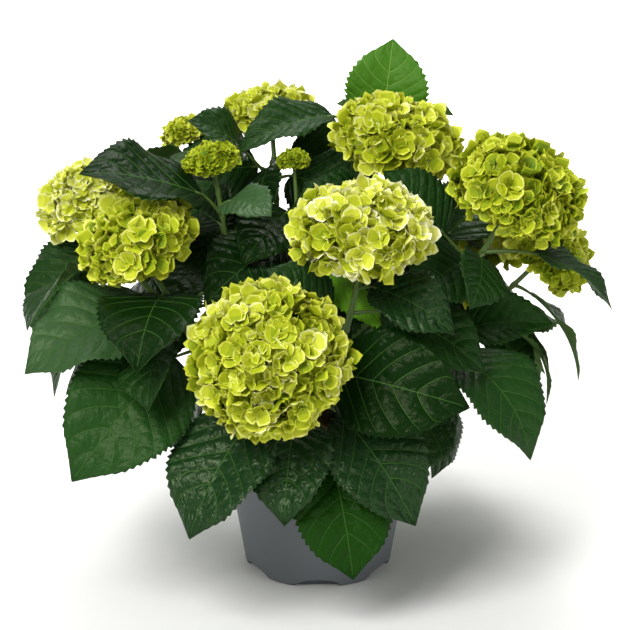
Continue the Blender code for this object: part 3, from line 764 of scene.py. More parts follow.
def pot_obstacle():
    """The container and the ground as a plain shape for tests of contact."""
    bm = bmesh.new()
    bmesh.ops.create_cone(
        bm, cap_ends=True, segments=24, radius1=POT_BASE_RADIUS + POT_ROOM,
        radius2=POT_TOP_RADIUS + POT_ROOM, depth=POT_HEIGHT,
    )
    bmesh.ops.translate(bm, verts=bm.verts, vec=(0, 0, POT_HEIGHT / 2))
    return mesh_from(bm, "pot_obstacle")


def limb_obstacles(stem):
    """What a shoot's own leaves keep clear of, and what the other shoots' leaves do."""
    head = tree_of(ellipsoid("head", stem, HEAD_ROOM, 2))
    cane = tree_of(stem.tube("cane", LEAFLESS_SHARE, 0, 4))
    whole = tree_of(stem.tube("stem", 0, 0.98, STEM_STEPS, 0))
    own = [cane, head] if stem.head_width > SMALLEST_HEAD else [cane]
    return own, [whole, head]


print("blades keep", CLEARANCE, "m clear")

# %% The search for room
TURN_STEP = 8  # degrees
TURN_LIMIT = 40
PAIR_TURN_LIMIT = 88
TILT_LIMIT = 16
TILT_COST = 1.5  # how many degrees of turn are tried before one of tilt
FREE_STALK = 0.45  # stalks of one shoot may meet below this share of their length


def moves(turn_limit):
    """Every (turn, tilt) within the limits, the smallest first."""
    turns = range(-turn_limit, turn_limit + 1, TURN_STEP)
    tilts = range(-TILT_LIMIT, TILT_LIMIT + 1, TURN_STEP)
    both = [(turn, tilt) for turn in turns for tilt in tilts]
    return sorted(both, key=lambda move: abs(move[0]) + TILT_COST * abs(move[1]))


def find_room(stem, leaf, turn_limit, obstacles):
    """The blade at the first turn and tilt that keep it clear of the obstacles."""
    for turn, tilt in moves(turn_limit):
        blade = Blade(stem, leaf, turn, tilt)
        body = tree_of(blade.solid("try", LEAF_THICKNESS + 2 * CLEARANCE))
        if any(body.overlap(other) for other in obstacles):
            continue
        stalk = tree_of(blade.petiole("try"))
        if not any(stalk.overlap(other) for other in obstacles):
            return blade
    return None


def grow_leaves(stems):
    """Every leaf that finds room, as {shoot name: [Blade]}, and how many find none."""
    pot = tree_of(pot_obstacle())
    limbs = {name: limb_obstacles(stem) for name, stem in stems.items()}
    grown = {name: [] for name in stems}
    left_out = 0
    taken = []
    shoots = {name: stem.shoot for name, stem in stems.items()}
    plan = [(name, leaf, TURN_LIMIT) for name in shoots for leaf in shoots[name].leaves]
    for name in shoots:
        plan += [(name, leaf, PAIR_TURN_LIMIT) for leaf in shoots[name].paired_leaves()]
    for name, leaf, turn_limit in plan:
        obstacles = [pot]
        for owner, (for_own_leaves, for_others) in limbs.items():
            obstacles += for_own_leaves if owner == name else for_others
        for owner, blade, stalk, free_stalk in taken:
            obstacles += [blade, free_stalk if owner == name else stalk]
        blade = find_room(stems[name], leaf, turn_limit, obstacles)
        if not blade:
            left_out += 1
            continue
        grown[name].append(blade)
        bodies = (
            blade.solid("kept", LEAF_THICKNESS), blade.petiole("kept"),
            blade.petiole("kept", FREE_STALK),
        )
        taken.append((name, *map(tree_of, bodies)))
    return grown, left_out


# %% Grow the leaves
stems = {name: Stem(shoot) for name, shoot in SHOOTS.items()}
grown, left_out = grow_leaves(stems)
print("leaves:", sum(len(blades) for blades in grown.values()), "left out:", left_out)

# %% [markdown]
# ## Leaves
# The blade is a grid laid over the shoot rule's own surface. Rows run from the foot to
# the tip and columns from margin to margin, so the outline, the fold, the waves of the
# margin and the teeth are all one change of the grid's points. The edge points of every
# other row stand out and a little forward, which makes the saw teeth. Solidify gives the
# blade its thickness. The quilting is finer than the grid and is left to the material,
# which reads the blade's map. The veins are fine tubes that run where the map has its
# grooves, since a vein that is modelled shows from both sides and needs no picture.

# %% Shape of a blade
BLADE_THICKNESS = 0.5 * MM
FULLNESS = 1.16  # how much wider the round outline is than the solid's straight-edged one
OUTLINE_RISE = 0.60  # smaller makes a blunter foot
OUTLINE_FALL = 0.84  # smaller makes a blunter tip
WIDEST = OUTLINE_RISE / (OUTLINE_RISE + OUTLINE_FALL)
OUTLINE_PEAK = 1 / (WIDEST**OUTLINE_RISE * (1 - WIDEST) ** OUTLINE_FALL)
TIP_FROM = 0.80  # share of the length where the drawn-out tip starts
TIP_PINCH = 0.40  # how much narrower it gets
MIDRIB_ROUND = 0.1  # share of the half width over which the fold is rounded
MARGIN_DIP = 0.3  # how far the margins turn down again
VEIN_FIRST = 0.05  # share of the length where the first side vein leaves the midrib
VEIN_PITCH = 0.145  # and from one to the next
VEIN_COUNT = 5  # on each side
VEIN_ARC = 0.42  # share of the length that a vein runs forward on its way to the margin
VEIN_SWEEP = 1.2  # above 1 bends it forward towards the margin
VEIN_SWAY = 0.018  # share of the length by which veins stand off an even spacing


def vein_sway(t, habit):
    """How far the veins near this share of the blade stand off an even spacing."""
    return VEIN_SWAY * math.sin(habit["turns"] * t + habit["shift"])


def vein_phase(t, s, habit):
    """How many side veins lie below this place, where whole numbers are on a vein."""
    start = t - VEIN_ARC * abs(s) ** VEIN_SWEEP * (1 - 0.5 * t) + vein_sway(t, habit)
    return (start - VEIN_FIRST) / VEIN_PITCH


def surface_point(blade, t, s, habit):
    """The blade's surface at share t along it and s across it."""
    pinch = 1 - TIP_PINCH * min(1, max(0, (t - TIP_FROM) / (1 - TIP_FROM)))
    full = OUTLINE_PEAK * t**OUTLINE_RISE * max(0, 1 - t) ** OUTLINE_FALL
    wide = blade.width / 2 * FULLNESS * full * pinch
    side = abs(s)
    folded = math.hypot(side, MIDRIB_ROUND) - MIDRIB_ROUND - MARGIN_DIP * side**3
    rise = math.sin(blade.fold) * folded
    phase = habit["turns"] * t + habit["shift"] * (2 + math.copysign(1, s))
    wave = habit["wave"] * side**3 * math.sin(phase)
    arch = blade.bend * 4 * t * (1 - t) - blade.length * habit["droop"] * t**5
    up = arch + wide * (rise + wave)
    across = blade.side * wide * s * math.cos(blade.fold)
    return blade.foot + blade.along * blade.length * t + across + blade.face * up


def blade_habit(rng):
    """How much this blade is waved and drooped."""
    return {
        "wave": rng.uniform(0.05, 0.13),
        "turns": rng.uniform(9, 15),
        "shift": rng.uniform(0, 6),
        "droop": rng.uniform(0.0, 0.05),
    }


print("a blade is widest at", round(WIDEST, 2), "of its length")

# %% Make a blade
COLUMNS = 12
EDGE_CROWDING = 0.25  # how far the columns are moved towards the margins
TOOTH_PITCH = 6.2 * MM
TOOTH_DEPTH = 2.4 * MM
TOOTH_LEAN = 0.3  # in rows: teeth point forward, and the notches between them back
NOTCH_SHARE = 0.3  # of the teeth's depth, by which the notches are cut in
PUCKER_LENGTH = 11 * MM


def blade_mesh(blade, habit):
    """One toothed blade with its map, dark above and pale below."""
    rows = 2 * round(blade.length / TOOTH_PITCH)
    bm = bmesh.new()
    bmesh.ops.create_grid(bm, x_segments=COLUMNS, y_segments=rows, size=1)
    uv = bm.loops.layers.uv.new("blade")
    shares = {}
    for vert in bm.verts:
        s = crowded(vert.co.x, EDGE_CROWDING)
        row = round((vert.co.y + 1) / 2 * rows)
        t = row / rows
        if abs(s) > 0.999 and 0 < row < rows:  # at a margin; teeth fade at foot and tip
            depth = TOOTH_DEPTH / (blade.width / 2) * min(1, 6 * t, 5 * (1 - t))
            s *= 1 + depth if row % 2 else 1 - NOTCH_SHARE * depth
            t += TOOTH_LEAN / rows if row % 2 else -TOOTH_LEAN / rows
        shares[vert.index] = (t, s)
        vert.co = surface_point(blade, t, s, habit)
    for face in bm.faces:
        for loop in face.loops:
            t, s = shares[loop.vert.index]
            reach = abs(s) * blade.width / 2 + 0.8 * t * blade.length
            loop[uv].uv = (vein_phase(t, s, habit), reach / PUCKER_LENGTH)
    bmesh.ops.remove_doubles(bm, verts=bm.verts, dist=0.05 * MM)
    bmesh.ops.recalc_face_normals(bm, faces=bm.faces)
    if sum(face.normal.dot(blade.face) for face in bm.faces) < 0:
        bmesh.ops.reverse_faces(bm, faces=bm.faces)
    tone = list(LEAF_TONES).index(blade.tone)
    bmesh.ops.solidify(bm, geom=bm.faces[:], thickness=BLADE_THICKNESS)
    for face in bm.faces:
        face.normal_update()
        face.material_index = tone if face.normal.dot(blade.face) > 0 else UNDERSIDE
    return new_mesh(bm, "blade")


print("a leaf of 120 mm has", 2 * round(120 * MM / TOOTH_PITCH), "rows")

# %% Veins of a blade
MIDRIB_RADII = (0.88 * MM, 0.26 * MM)  # at the foot and at the tip of a leaf of 120 mm
SIDE_VEIN_RADII = (0.42 * MM, 0.14 * MM)  # at the midrib and at the margin
MIDRIB_SPAN = (0.01, 0.96)  # shares of the length
SIDE_VEIN_END = 0.93  # share of the half width
MIDRIB_STEPS = 14
SIDE_VEIN_STEPS = 8


def vein_runs(blade, habit):
    """The midrib and the side veins as runs of points and radii."""
    size = blade.length / (120 * MM)
    shares = [between(*MIDRIB_SPAN, i / MIDRIB_STEPS) for i in range(MIDRIB_STEPS + 1)]
    runs = [(
        [surface_point(blade, t, 0, habit) for t in shares],
        [between(*MIDRIB_RADII, t) * size for t in shares],
    )]
    for index in range(VEIN_COUNT):
        for side in (-1, 1):
            points, radii = [], []
            for step in range(SIDE_VEIN_STEPS + 1):
                s = SIDE_VEIN_END * step / SIDE_VEIN_STEPS
                arc = VEIN_ARC * s**VEIN_SWEEP
                even = VEIN_FIRST + VEIN_PITCH * index + arc
                t = 0.5
                for _ in range(6):  # closes in on the place where the map has its groove
                    t = (even - vein_sway(t, habit)) / (1 + 0.5 * arc)
                if t < MIDRIB_SPAN[1]:
                    points.append(surface_point(blade, t, side * s, habit))
                    radii.append(between(*SIDE_VEIN_RADII, s) * size)
            runs.append((points, radii))
    return runs


print("veins of a leaf:", 1 + 2 * VEIN_COUNT)

# %% Make the leaves of every shoot


def leaves_mesh(name, blades, rng):
    """All the leaves of one shoot, with their veins."""
    bm = bmesh.new()
    for blade in blades:
        habit = blade_habit(rng)
        veins = tubes_mesh("veins", vein_runs(blade, habit), 0)
        young = blade.tone in ("bright", "fresh")
        for polygon in veins.polygons:
            polygon.material_index = YOUNG_VEIN if young else VEIN
        pour(blade_mesh(blade, habit), bm)
        pour(veins, bm)
    return new_mesh(bm, name)


rng = random.Random(SEED)
for name, blades in grown.items():
    mesh = leaves_mesh("leaves_" + name, blades, rng)
    finish_piece("leaves_" + name, mesh, leaf_materials, "foliage", "foliage_" + name)

# %% [markdown]
# ## Flower heads
# A mophead is a dome of hundreds of florets on fine branching stalks, packed so close
# that their sepals push each other into ruffles. Sixteen shapes of floret are modelled,
# each a cup of four waved sepals in a few dozen faces. Copies of them are dealt over the
# dome by the golden angle, which spaces them as evenly as a real head does, each tilted
# and sunk by its own amount, so that dark gaps open between them.

# %% Shapes of floret
FLORET_SHAPES = 16
SEPAL_CELLS = 4  # along each side of a sepal's grid
RIM_CROWDING = 0.75  # how far its rows are moved towards the edge
THROAT, FACE, RIM = 0, 1, 3  # steps of the ramp past a floret's first
CUP = (0.3, 0.9)  # how steeply the sepals of a floret rise
CUP_PLAY = 0.2  # by how much one of them may differ
SEPAL_LENGTH = (0.9, 1.12)
SEPAL_HALF_WIDTH = (0.56, 0.70)
SEPAL_SPIN = 8  # degrees off a quarter turn
RUFFLE = (0.14, 0.28)  # how high the edge is waved
RUFFLE_WAVES = (3, 5)
RUFFLE_SHIFT = (0, 6)
CUSP = 0.05  # the small point at the end of a sepal
TROUGH = 0.22  # how far its sides stand over its middle
OVERLAP = 0.10  # by which every other sepal lies higher


def sepal_place(vert):
    """The grid's point moved to a round disc, with its rows crowded towards the edge."""
    u, v = [crowded(place, RIM_CROWDING) for place in vert.co.xy]
    return u * math.sqrt(1 - v * v / 2), v * math.sqrt(1 - u * u / 2)


def sepal_part(face):
    """Whether a face belongs to the throat, the face or the rim of its sepal."""
    centre = face.calc_center_median()
    if max(centre.x, abs(centre.y)) > 0.5:
        return RIM
    return FACE if centre.x > 0 else THROAT


def floret_shape(rng):
    """Four broad cupped sepals, one unit long, two of them lying over the other two."""
    bm = bmesh.new()
    cup = rng.uniform(*CUP)
    for turn in range(4):
        grid = bmesh.ops.create_grid(
            bm, x_segments=SEPAL_CELLS, y_segments=SEPAL_CELLS, size=1
        )["verts"]
        for face in {face for vert in grid for face in vert.link_faces}:
            face.material_index = sepal_part(face)
        length = rng.uniform(*SEPAL_LENGTH)
        half = rng.uniform(*SEPAL_HALF_WIDTH)
        lift = cup + rng.uniform(-CUP_PLAY, CUP_PLAY)
        waves = rng.uniform(*RUFFLE_WAVES)
        shift = rng.uniform(*RUFFLE_SHIFT)
        ruffle = rng.uniform(*RUFFLE)
        for vert in grid:
            x, y = sepal_place(vert)
            edge = (x * x + y * y) ** 2 * (0.5 + 0.5 * x)
            wave = ruffle * edge * math.sin(waves * math.atan2(y, x + 0.2) + shift)
            cusp = CUSP * max(0, x) ** 3 * (1 - abs(y))
            far = 0.54 + 0.46 * x * (1 - 0.4 * wave) + cusp
            height = lift * far * far + TROUGH * y * y + OVERLAP * (turn % 2) + wave
            vert.co = (length * far, half * y * (1 + 0.15 * x), height)
        angle = 90 * turn + rng.uniform(-SEPAL_SPIN, SEPAL_SPIN)
        spin = Matrix.Rotation(math.radians(angle), 4, "Z")
        bmesh.ops.transform(bm, matrix=spin, verts=grid)
    for face in bm.faces:
        face.normal_update()
    return new_mesh(bm, "floret")


rng = random.Random(SEED)
floret_shapes = [floret_shape(rng) for _ in range(FLORET_SHAPES)]
print("faces of a floret:", len(floret_shapes[0].polygons))

# %% Places of the florets on a head
HEAD_COVER = 118  # degrees from the head's top that the florets reach
FEWEST_FLORETS = 7


def floret_places(stem, spacing):
    """Evenly spread (point, outward) pairs on the head, by the golden angle from its top."""
    half, rise = stem.head_width / 2, stem.head_height / 2
    cover = (1 - math.cos(math.radians(HEAD_COVER))) / 2
    power = 1.6  # of the usual short sum for the area of an ellipsoid
    area = (half ** (2 * power) + 2 * (half * rise) ** power) / 3
    area = 4 * math.pi * area ** (1 / power) * cover
    count = max(FEWEST_FLORETS, round(area / spacing**2))
    golden = math.pi * (3 - math.sqrt(5))
    aim = stem.axis.to_track_quat("Z", "Y").to_matrix()
    for index in range(count):
        z = 1 - 2 * cover * (index + 0.5) / count
        ring = math.sqrt(1 - z * z)
        x, y = ring * math.cos(index * golden), ring * math.sin(index * golden)
        outward = aim @ Vector((x / half, y / half, z / rise)).normalized()
        yield stem.centre + aim @ Vector((x * half, y * half, z * rise)), outward


print("florets reach", HEAD_COVER, "degrees from the top of a head")

# %% Deal the florets over a head
FLORET_SIZE = 12.5 * MM  # of a sepal, on a full-grown head
FULL_HEAD = 112 * MM
YOUTH = 1.2  # above 1 makes the florets of small heads smaller still
FLORET_FIT = 1.02  # from one floret to the next, in sepals
FLORET_SCALE = (0.82, 1.12)
FLORET_TILT = 0.6
SUNK = 0.79  # a floret's place from the middle of the head, in radii
SUNK_PLAY = (-0.10, 0.04)
SUNK_MOST = 0.90
LUMP_SIZE = 26 * MM  # of the heads' lumps and hollows
LUMP_HEIGHT = 0.12
STALK_RADII = [1.1 * MM, 0.8 * MM, 0.5 * MM]  # of a floret's stalk, from root to floret
STALK_FORK = 0.45
STALK_ARCH = 3 * MM
USUAL_STEPS = (0, 1, 4, 4, 1)
HEAD_STEPS = {  # how many florets in ten take each first step of the ramp
    "front": (0, 1, 4, 3, 2),
    "middle": (0, 0, 2, 3, 3, 2),
    "right": (1, 4, 4, 1),
    "far_right": (1, 4, 4, 1),
    "left": (1, 2, 4, 3),
    "far_left": (0, 0, 1, 3, 4, 2),
    "top": (0, 1, 5, 3, 1),
    "top_left": (0, 0, 2, 4, 4),
    "small_left": (4, 6),
    "small_back": (0, 2, 4, 4),
    "small_middle": (6, 4),
}


def flower_mesh(name, stem, rng):
    """The florets of one head, and the stalks that carry them."""
    size = FLORET_SIZE * min(1, (stem.head_width / FULL_HEAD) ** YOUTH)
    shares = HEAD_STEPS.get(name, USUAL_STEPS)
    steps = [step for step, share in enumerate(shares) for _ in range(share)]
    bm = bmesh.new()
    stalks = []
    root = stem.centre - stem.axis * stem.head_height * HEAD_FOOT
    for place, outward in floret_places(stem, size * FLORET_FIT):
        lump = noise.noise(place / LUMP_SIZE) * LUMP_HEIGHT
        sunk = SUNK + lump + rng.uniform(*SUNK_PLAY)
        middle = stem.centre + (place - stem.centre) * min(SUNK_MOST, sunk)
        tilt = Vector([rng.uniform(-FLORET_TILT, FLORET_TILT) for _ in range(3)])
        aim = (outward + tilt).to_track_quat("Z", "Y").to_matrix().to_4x4()
        spin = Matrix.Rotation(rng.uniform(0, math.pi / 2), 4, "Z")
        scale = Matrix.Scale(size * rng.uniform(*FLORET_SCALE), 4)
        floret = rng.choice(floret_shapes).copy()
        first = rng.choice(steps)
        for polygon in floret.polygons:
            polygon.material_index += first
        floret.transform(Matrix.Translation(middle) @ aim @ spin @ scale)
        pour(floret, bm)
        fork = root.lerp(middle, STALK_FORK) + stem.axis * STALK_ARCH
        stalks.append(([root, fork, middle], STALK_RADII))
    return new_mesh(bm, "flowers_" + name), stalks


flower_stalks = []
rng = random.Random(SEED)
for name, stem in stems.items():
    if stem.head_width > SMALLEST_HEAD:
        mesh, stalks = flower_mesh(name, stem, rng)
        flower_stalks += stalks
        finish_piece("flowers_" + name, mesh, sepal_materials, "foliage")
print("florets:", len(flower_stalks))

# %% [markdown]
# ## Green stems, leaf stalks and floret stalks
# Above its woody foot a shoot is green and smooth, flecked with pores, and thickens a
# little at each pair of leaves. Leaf stalks leave it there. All of them are round tubes
# that taper along a curve, so one bevelled curve makes them. The pores are finer than a
# render can show, so noise of 2 mm stands for them.

# %% Stem material
PORE_SIZE = 2 * MM
green, tree, shader = new_material("green stem", "#4c6824", 0.5)
add_grain(tree, shader, piece_noise(tree, PORE_SIZE, 2.0), 0.5, 0.5 * MM)
print("stem material:", green.name)

# %% Stems and stalks
STEM_RINGS = 60
NODE_SWELL = 0.35  # how much thicker a stem is at its leaves
NODE_LENGTH = 0.012  # share of the shoot's length over which it is
PETIOLE_ARCH = 0.04  # of its length
PETIOLE_RADII = (2.3 * MM, 1.2 * MM)
PETIOLE_STEPS = 8
MIDRIB_STARTS = (0.03, 0.07)  # where the leaf stalk runs on under the blade


def stem_run(stem, blades, first, last, steps):
    """A stretch of a shoot, thicker at its leaves, as points and radii."""
    points, radii = [], []
    for step in range(steps + 1):
        share = between(first, last, step / steps)
        near = [math.exp(-(((share - blade.up) / NODE_LENGTH) ** 2)) for blade in blades]
        points.append(stem.at(share))
        radii.append(stem.radius(share) * (1 + NODE_SWELL * max(near, default=0)))
    return points, radii


def petiole_run(blade):
    """A leaf stalk that rises from the shoot and runs on into the midrib."""
    reach = (blade.foot - blade.node).length
    points = []
    for step in range(PETIOLE_STEPS + 1):
        lift = blade.face * math.sin(math.pi * step / PETIOLE_STEPS) * PETIOLE_ARCH * reach
        points.append(blade.node.lerp(blade.foot, step / PETIOLE_STEPS) + lift)
    points += [blade.point(t, 0) for t in MIDRIB_STARTS]
    last = len(points) - 1
    return points, [between(*PETIOLE_RADII, step / last) for step in range(last + 1)]


runs = []
for name, stem in stems.items():
    runs.append(stem_run(stem, grown[name], LEAFLESS_SHARE, 1, STEM_RINGS))
    runs += [petiole_run(blade) for blade in grown[name]]
stalk_bm = bmesh.new()
for part, sides in ((runs, 2), (flower_stalks, 0)):
    pour(tubes_mesh("tubes", part, sides), stalk_bm)
finish_piece("green_stems", mesh_from(stalk_bm, "green_stems"), [green], "foliage")

# %% [markdown]
# ## Wood
# The foot of each shoot and the crown that carries them are brown wood with thin bark
# that splits lengthways and peels. The crown is a profile turned round the upright axis
# by the spin operator. The canes run into it. Noise along the normals gives the bark its
# lumps. Its strips, 2.4 mm wide and four times as long, are left to the material.

# %% Bark
STRIP_WIDTH = 2.381 * MM
BARK_TINTS = ((0.35, "#4a3823"), (0.7, "#a08a62"))  # in the splits and on the strips
bark, tree, shader = new_material("peeling bark", "#7b6240", 0.85)
strips = piece_noise(tree, STRIP_WIDTH, 5.0, squeeze=(1.0, 1.0, 0.25))
add_grain(tree, shader, strips, 0.8, 0.8 * MM)
tints = add_node(tree, "ShaderNodeValToRGB", None, {"Fac": (strips, "Fac")})
for stop, (position, tint) in zip(tints.color_ramp.elements, BARK_TINTS):
    stop.position = position
    stop.color = linear(tint)
tree.links.new(tints.outputs["Color"], shader.inputs["Base Color"])
print("wood material:", bark.name)

# %% Crown and canes
FLARE_RADIUS = 20 * MM  # where the crown stands on the soil
NECK_RADIUS = 12 * MM
NECK_HEIGHT = 14 * MM
KNUCKLE_RINGS = 14
CROWN_SIDES = 64
CANE_RINGS = 40
CANE_ROOT = 6 * MM  # how deep the canes are rooted in the crown
BARK_LUMP = 4 * MM
BARK_RELIEF = 0.7 * MM


def roughen(mesh, grain, height):
    """Moves every point along its normal by noise of that grain."""
    normals = [vert.normal.copy() for vert in mesh.vertices]
    for vert, normal in zip(mesh.vertices, normals):
        vert.co += normal * height * noise.noise(vert.co / grain)


def turned(profile, steps):
    """A bmesh turned from (radius, height) points round the upright axis."""
    bm = bmesh.new()
    verts = [bm.verts.new((radius, 0, height)) for radius, height in profile]
    edges = [bm.edges.new(pair) for pair in zip(verts, verts[1:])]
    bmesh.ops.spin(
        bm, geom=verts + edges, cent=(0, 0, 0), axis=(0, 0, 1), angle=2 * math.pi,
        steps=steps, use_merge=True,
    )
    bmesh.ops.remove_doubles(bm, verts=bm.verts, dist=MERGE)
    return bm


def crown_profile():
    """The crown's outline from the soil up over the knuckle."""
    foot = mix_top() + GAP
    profile = [(0, foot), (FLARE_RADIUS, foot), (0.8 * FLARE_RADIUS, foot + 3 * MM)]
    profile += [(NECK_RADIUS + 1 * MM, foot + 8 * MM), (NECK_RADIUS, foot + NECK_HEIGHT)]
    for ring in range(KNUCKLE_RINGS + 1):
        angle = math.radians(between(-35, 90, ring / KNUCKLE_RINGS))
        height = foot + KNUCKLE_HEIGHT + KNUCKLE_RADIUS * math.sin(angle)
        profile.append((max(0.0, KNUCKLE_RADIUS * math.cos(angle)), height))
    return profile


wood = turned(crown_profile(), CROWN_SIDES)
bmesh.ops.subdivide_edges(wood, edges=wood.edges, cuts=1, use_grid_fill=True)
canes = []
for name, stem in stems.items():
    points, radii = stem_run(stem, grown[name], 0, LEAFLESS_SHARE + 0.004, CANE_RINGS)
    inside = stem.at(0) - stem.start_direction * CANE_ROOT
    canes.append(([inside] + points, [radii[0] * 1.5] + radii))
pour(tubes_mesh("canes", canes, 4), wood)
wood_mesh = mesh_from(wood, "crown_and_canes")
roughen(wood_mesh, BARK_LUMP, BARK_RELIEF)
cane_names = ["cane_" + name for name in SHOOTS]
finish_piece("crown_and_canes", wood_mesh, [bark], "wood", "crown", *cane_names)

# %% [markdown]
# ## Nursery pot
# The pot is injection-moulded polypropylene, dyed dark grey, with a fine spark-eroded
# grain that kills the gloss. It is a thin-walled tub with a deep rolled rim and six low
# arches round its foot, which let it drain on a flat bench. The wall is one profile turned
# round the axis. A Boolean cuts the arches, as in the solid. The real grain is a tenth of
# a millimetre wide, too fine to show, so it is drawn six times as coarse.

# %% Pot material
GRAIN_SIZE = 0.625 * MM
DUST_SIZE = 55.56 * MM  # of the patches that dust and hard water leave on the gloss
SMOOTHEST = 0.45
ROUGHEST = 0.65
plastic, tree, shader = new_material("grained polypropylene", "#606569", 0.55)
add_grain(tree, shader, piece_noise(tree, GRAIN_SIZE, 2.0), 0.35, 0.2 * MM)
dust = piece_noise(tree, DUST_SIZE, 4.0)
haze = add_node(
    tree, "ShaderNodeMapRange", {"To Min": SMOOTHEST, "To Max": ROUGHEST},
    {"Value": (dust, "Fac")},
)
tree.links.new(haze.outputs["Result"], shader.inputs["Roughness"])
print("pot material:", plastic.name)

# %% Pot shape
POT_WALL = 2.2 * MM
POT_RIM_HEIGHT = 20 * MM
POT_RIM_PROUD = 3 * MM
RIM_EDGE = ((1.4, 0), (0.4, 0.5), (0, 1.5))  # mm in from the rim's side, mm below its top
RIM_UNDERSIDE = ((3, 0), (2.4, 1), (0, 2))  # mm proud of the wall, mm below the rim's foot
POT_FOOT_ROUND = 6 * MM
FOOT_STEPS = 5
FOOT_RING_INNER = 50 * MM
FOOT_RING_HEIGHT = 13 * MM
POT_FLOOR = 3 * MM
POT_SIDES = 96


def pot_radius(height):
    """The container's outer radius at a height, without its rim."""
    return between(POT_BASE_RADIUS, POT_TOP_RADIUS - POT_RIM_PROUD, height / POT_HEIGHT)


def pot_profile():
    """From the top of the rim down the outside, across the underside and up the inside."""
    rim_foot = POT_HEIGHT - POT_RIM_HEIGHT
    inner_top = pot_radius(POT_HEIGHT) - POT_WALL
    ring_top = pot_radius(FOOT_RING_HEIGHT) - POT_WALL
    rim = pot_radius(POT_HEIGHT) + POT_RIM_PROUD
    wall = pot_radius(rim_foot)
    outside = [(rim - inward * MM, POT_HEIGHT - down * MM) for inward, down in RIM_EDGE]
    outside += [(wall + proud * MM, rim_foot - down * MM) for proud, down in RIM_UNDERSIDE]
    for step in range(FOOT_STEPS + 1):
        angle = math.radians(90 * step / FOOT_STEPS)
        inward = POT_FOOT_ROUND * (1 - math.cos(angle))
        height = POT_FOOT_ROUND * (1 - math.sin(angle))
        outside.append((pot_radius(POT_FOOT_ROUND) - inward, height))
    inside = [(0, 0), (0, POT_FLOOR), (FOOT_RING_INNER, POT_FLOOR)]
    inside += [(FOOT_RING_INNER, FOOT_RING_HEIGHT), (ring_top, FOOT_RING_HEIGHT)]
    inside += [(inner_top, POT_HEIGHT - 0.6 * MM), (inner_top + 0.8 * MM, POT_HEIGHT)]
    return outside + inside + outside[:1]


print("pot wall", POT_WALL, "m")

# %% Notches
NOTCH_COUNT = 6
NOTCH_WIDTH = 46 * MM
NOTCH_HEIGHT = 10 * MM
NOTCH_DEPTH = 12 * MM
SHARP_FROM = 35  # degrees between faces


def notch_cutter(index):
    """An arched block across the foot: a squashed round bar that points at the axis."""
    bm = bmesh.new()
    bmesh.ops.create_cone(
        bm, cap_ends=True, segments=40, radius1=1, radius2=1, depth=2 * NOTCH_DEPTH
    )
    turn = Matrix.Rotation(2 * math.pi * (index + 0.5) / NOTCH_COUNT, 4, "Z")
    place = Matrix.Translation((POT_BASE_RADIUS + 1 * MM, 0, 0))
    squash = Matrix.Diagonal((1, NOTCH_WIDTH / 2, NOTCH_HEIGHT, 1))
    bm.transform(turn @ place @ squash @ Matrix.Rotation(math.pi / 2, 4, "Y"))
    return mesh_from(bm, "notch")


cutters = bmesh.new()
for index in range(NOTCH_COUNT):
    pour(notch_cutter(index), cutters)
cutter = new_object("notches", mesh_from(cutters, "notches"))
whole = new_object("whole_pot", mesh_from(turned(pot_profile(), POT_SIDES), "whole_pot"))
cut = whole.modifiers.new("notches", "BOOLEAN")
cut.operation = "DIFFERENCE"
cut.object = cutter
cut.solver = "EXACT"
pot_mesh = evaluated_mesh(whole)
bpy.data.objects.remove(whole)
bpy.data.objects.remove(cutter)
finish_piece("nursery_pot", pot_mesh, [plastic], "container", "container")
pot_mesh.set_sharp_from_angle(angle=math.radians(SHARP_FROM))

# %% [markdown]
# ## Potting mix
# The soil is damp peat with bark crumbs and a few white grains of perlite. The plug is
# turned like the pot and roughened. The crumbs are small twenty-sided balls, squashed
# each its own way and strewn over the top.

# %% Soil, bark crumbs and perlite
FIBRE_SIZE = 2.857 * MM
peat, tree, shader = new_material("damp peat", "#2e2118", 0.95)
add_grain(tree, shader, piece_noise(tree, FIBRE_SIZE, 6.0), 1.0, 2 * MM)
crumb = new_material("bark crumb", "#553a25", 0.9)[0]
perlite = new_material("perlite", "#d8d5cc", 0.8)[0]
PEAT, CRUMB, PERLITE = range(3)
print("soil materials:", peat.name, crumb.name, perlite.name)

# %% Potting mix
MIX_GAP = 0.4 * MM  # from the wall
CROWNING_REACH = 90 * MM
MIX_RINGS = 24
CLOD_SIZE = 6 * MM
CLOD_HEIGHT = 1.6 * MM
CRUMBS = 900
CRUMB_REACH = 92 * MM
CRUMB_RADII = (0.8, 2.6)  # mm
CRUMB_SQUASH = ((0.6, 1.4), (0.5, 1), (0.4, 0.9))
CRUMB_RISE = 0.5 * MM
PERLITE_SHARE = 0.08


def soil_height(radius):
    """The height of the mix at a distance from the axis."""
    edge = POT_HEIGHT - MIX_BELOW_RIM
    return edge + MIX_CROWNING * (1 - min(1, radius / CROWNING_REACH) ** 2)


def soil_profile():
    """From the middle of the top out to the wall, then down to the floor."""
    edge = pot_radius(POT_HEIGHT - MIX_BELOW_RIM) - POT_WALL - MIX_GAP
    radii = [edge * ring / MIX_RINGS for ring in range(MIX_RINGS + 1)]
    foot = pot_radius(FOOT_RING_HEIGHT) - POT_WALL - MIX_GAP
    floor = FOOT_RING_HEIGHT + GAP
    return [(radius, soil_height(radius)) for radius in radii] + [(foot, floor), (0, floor)]


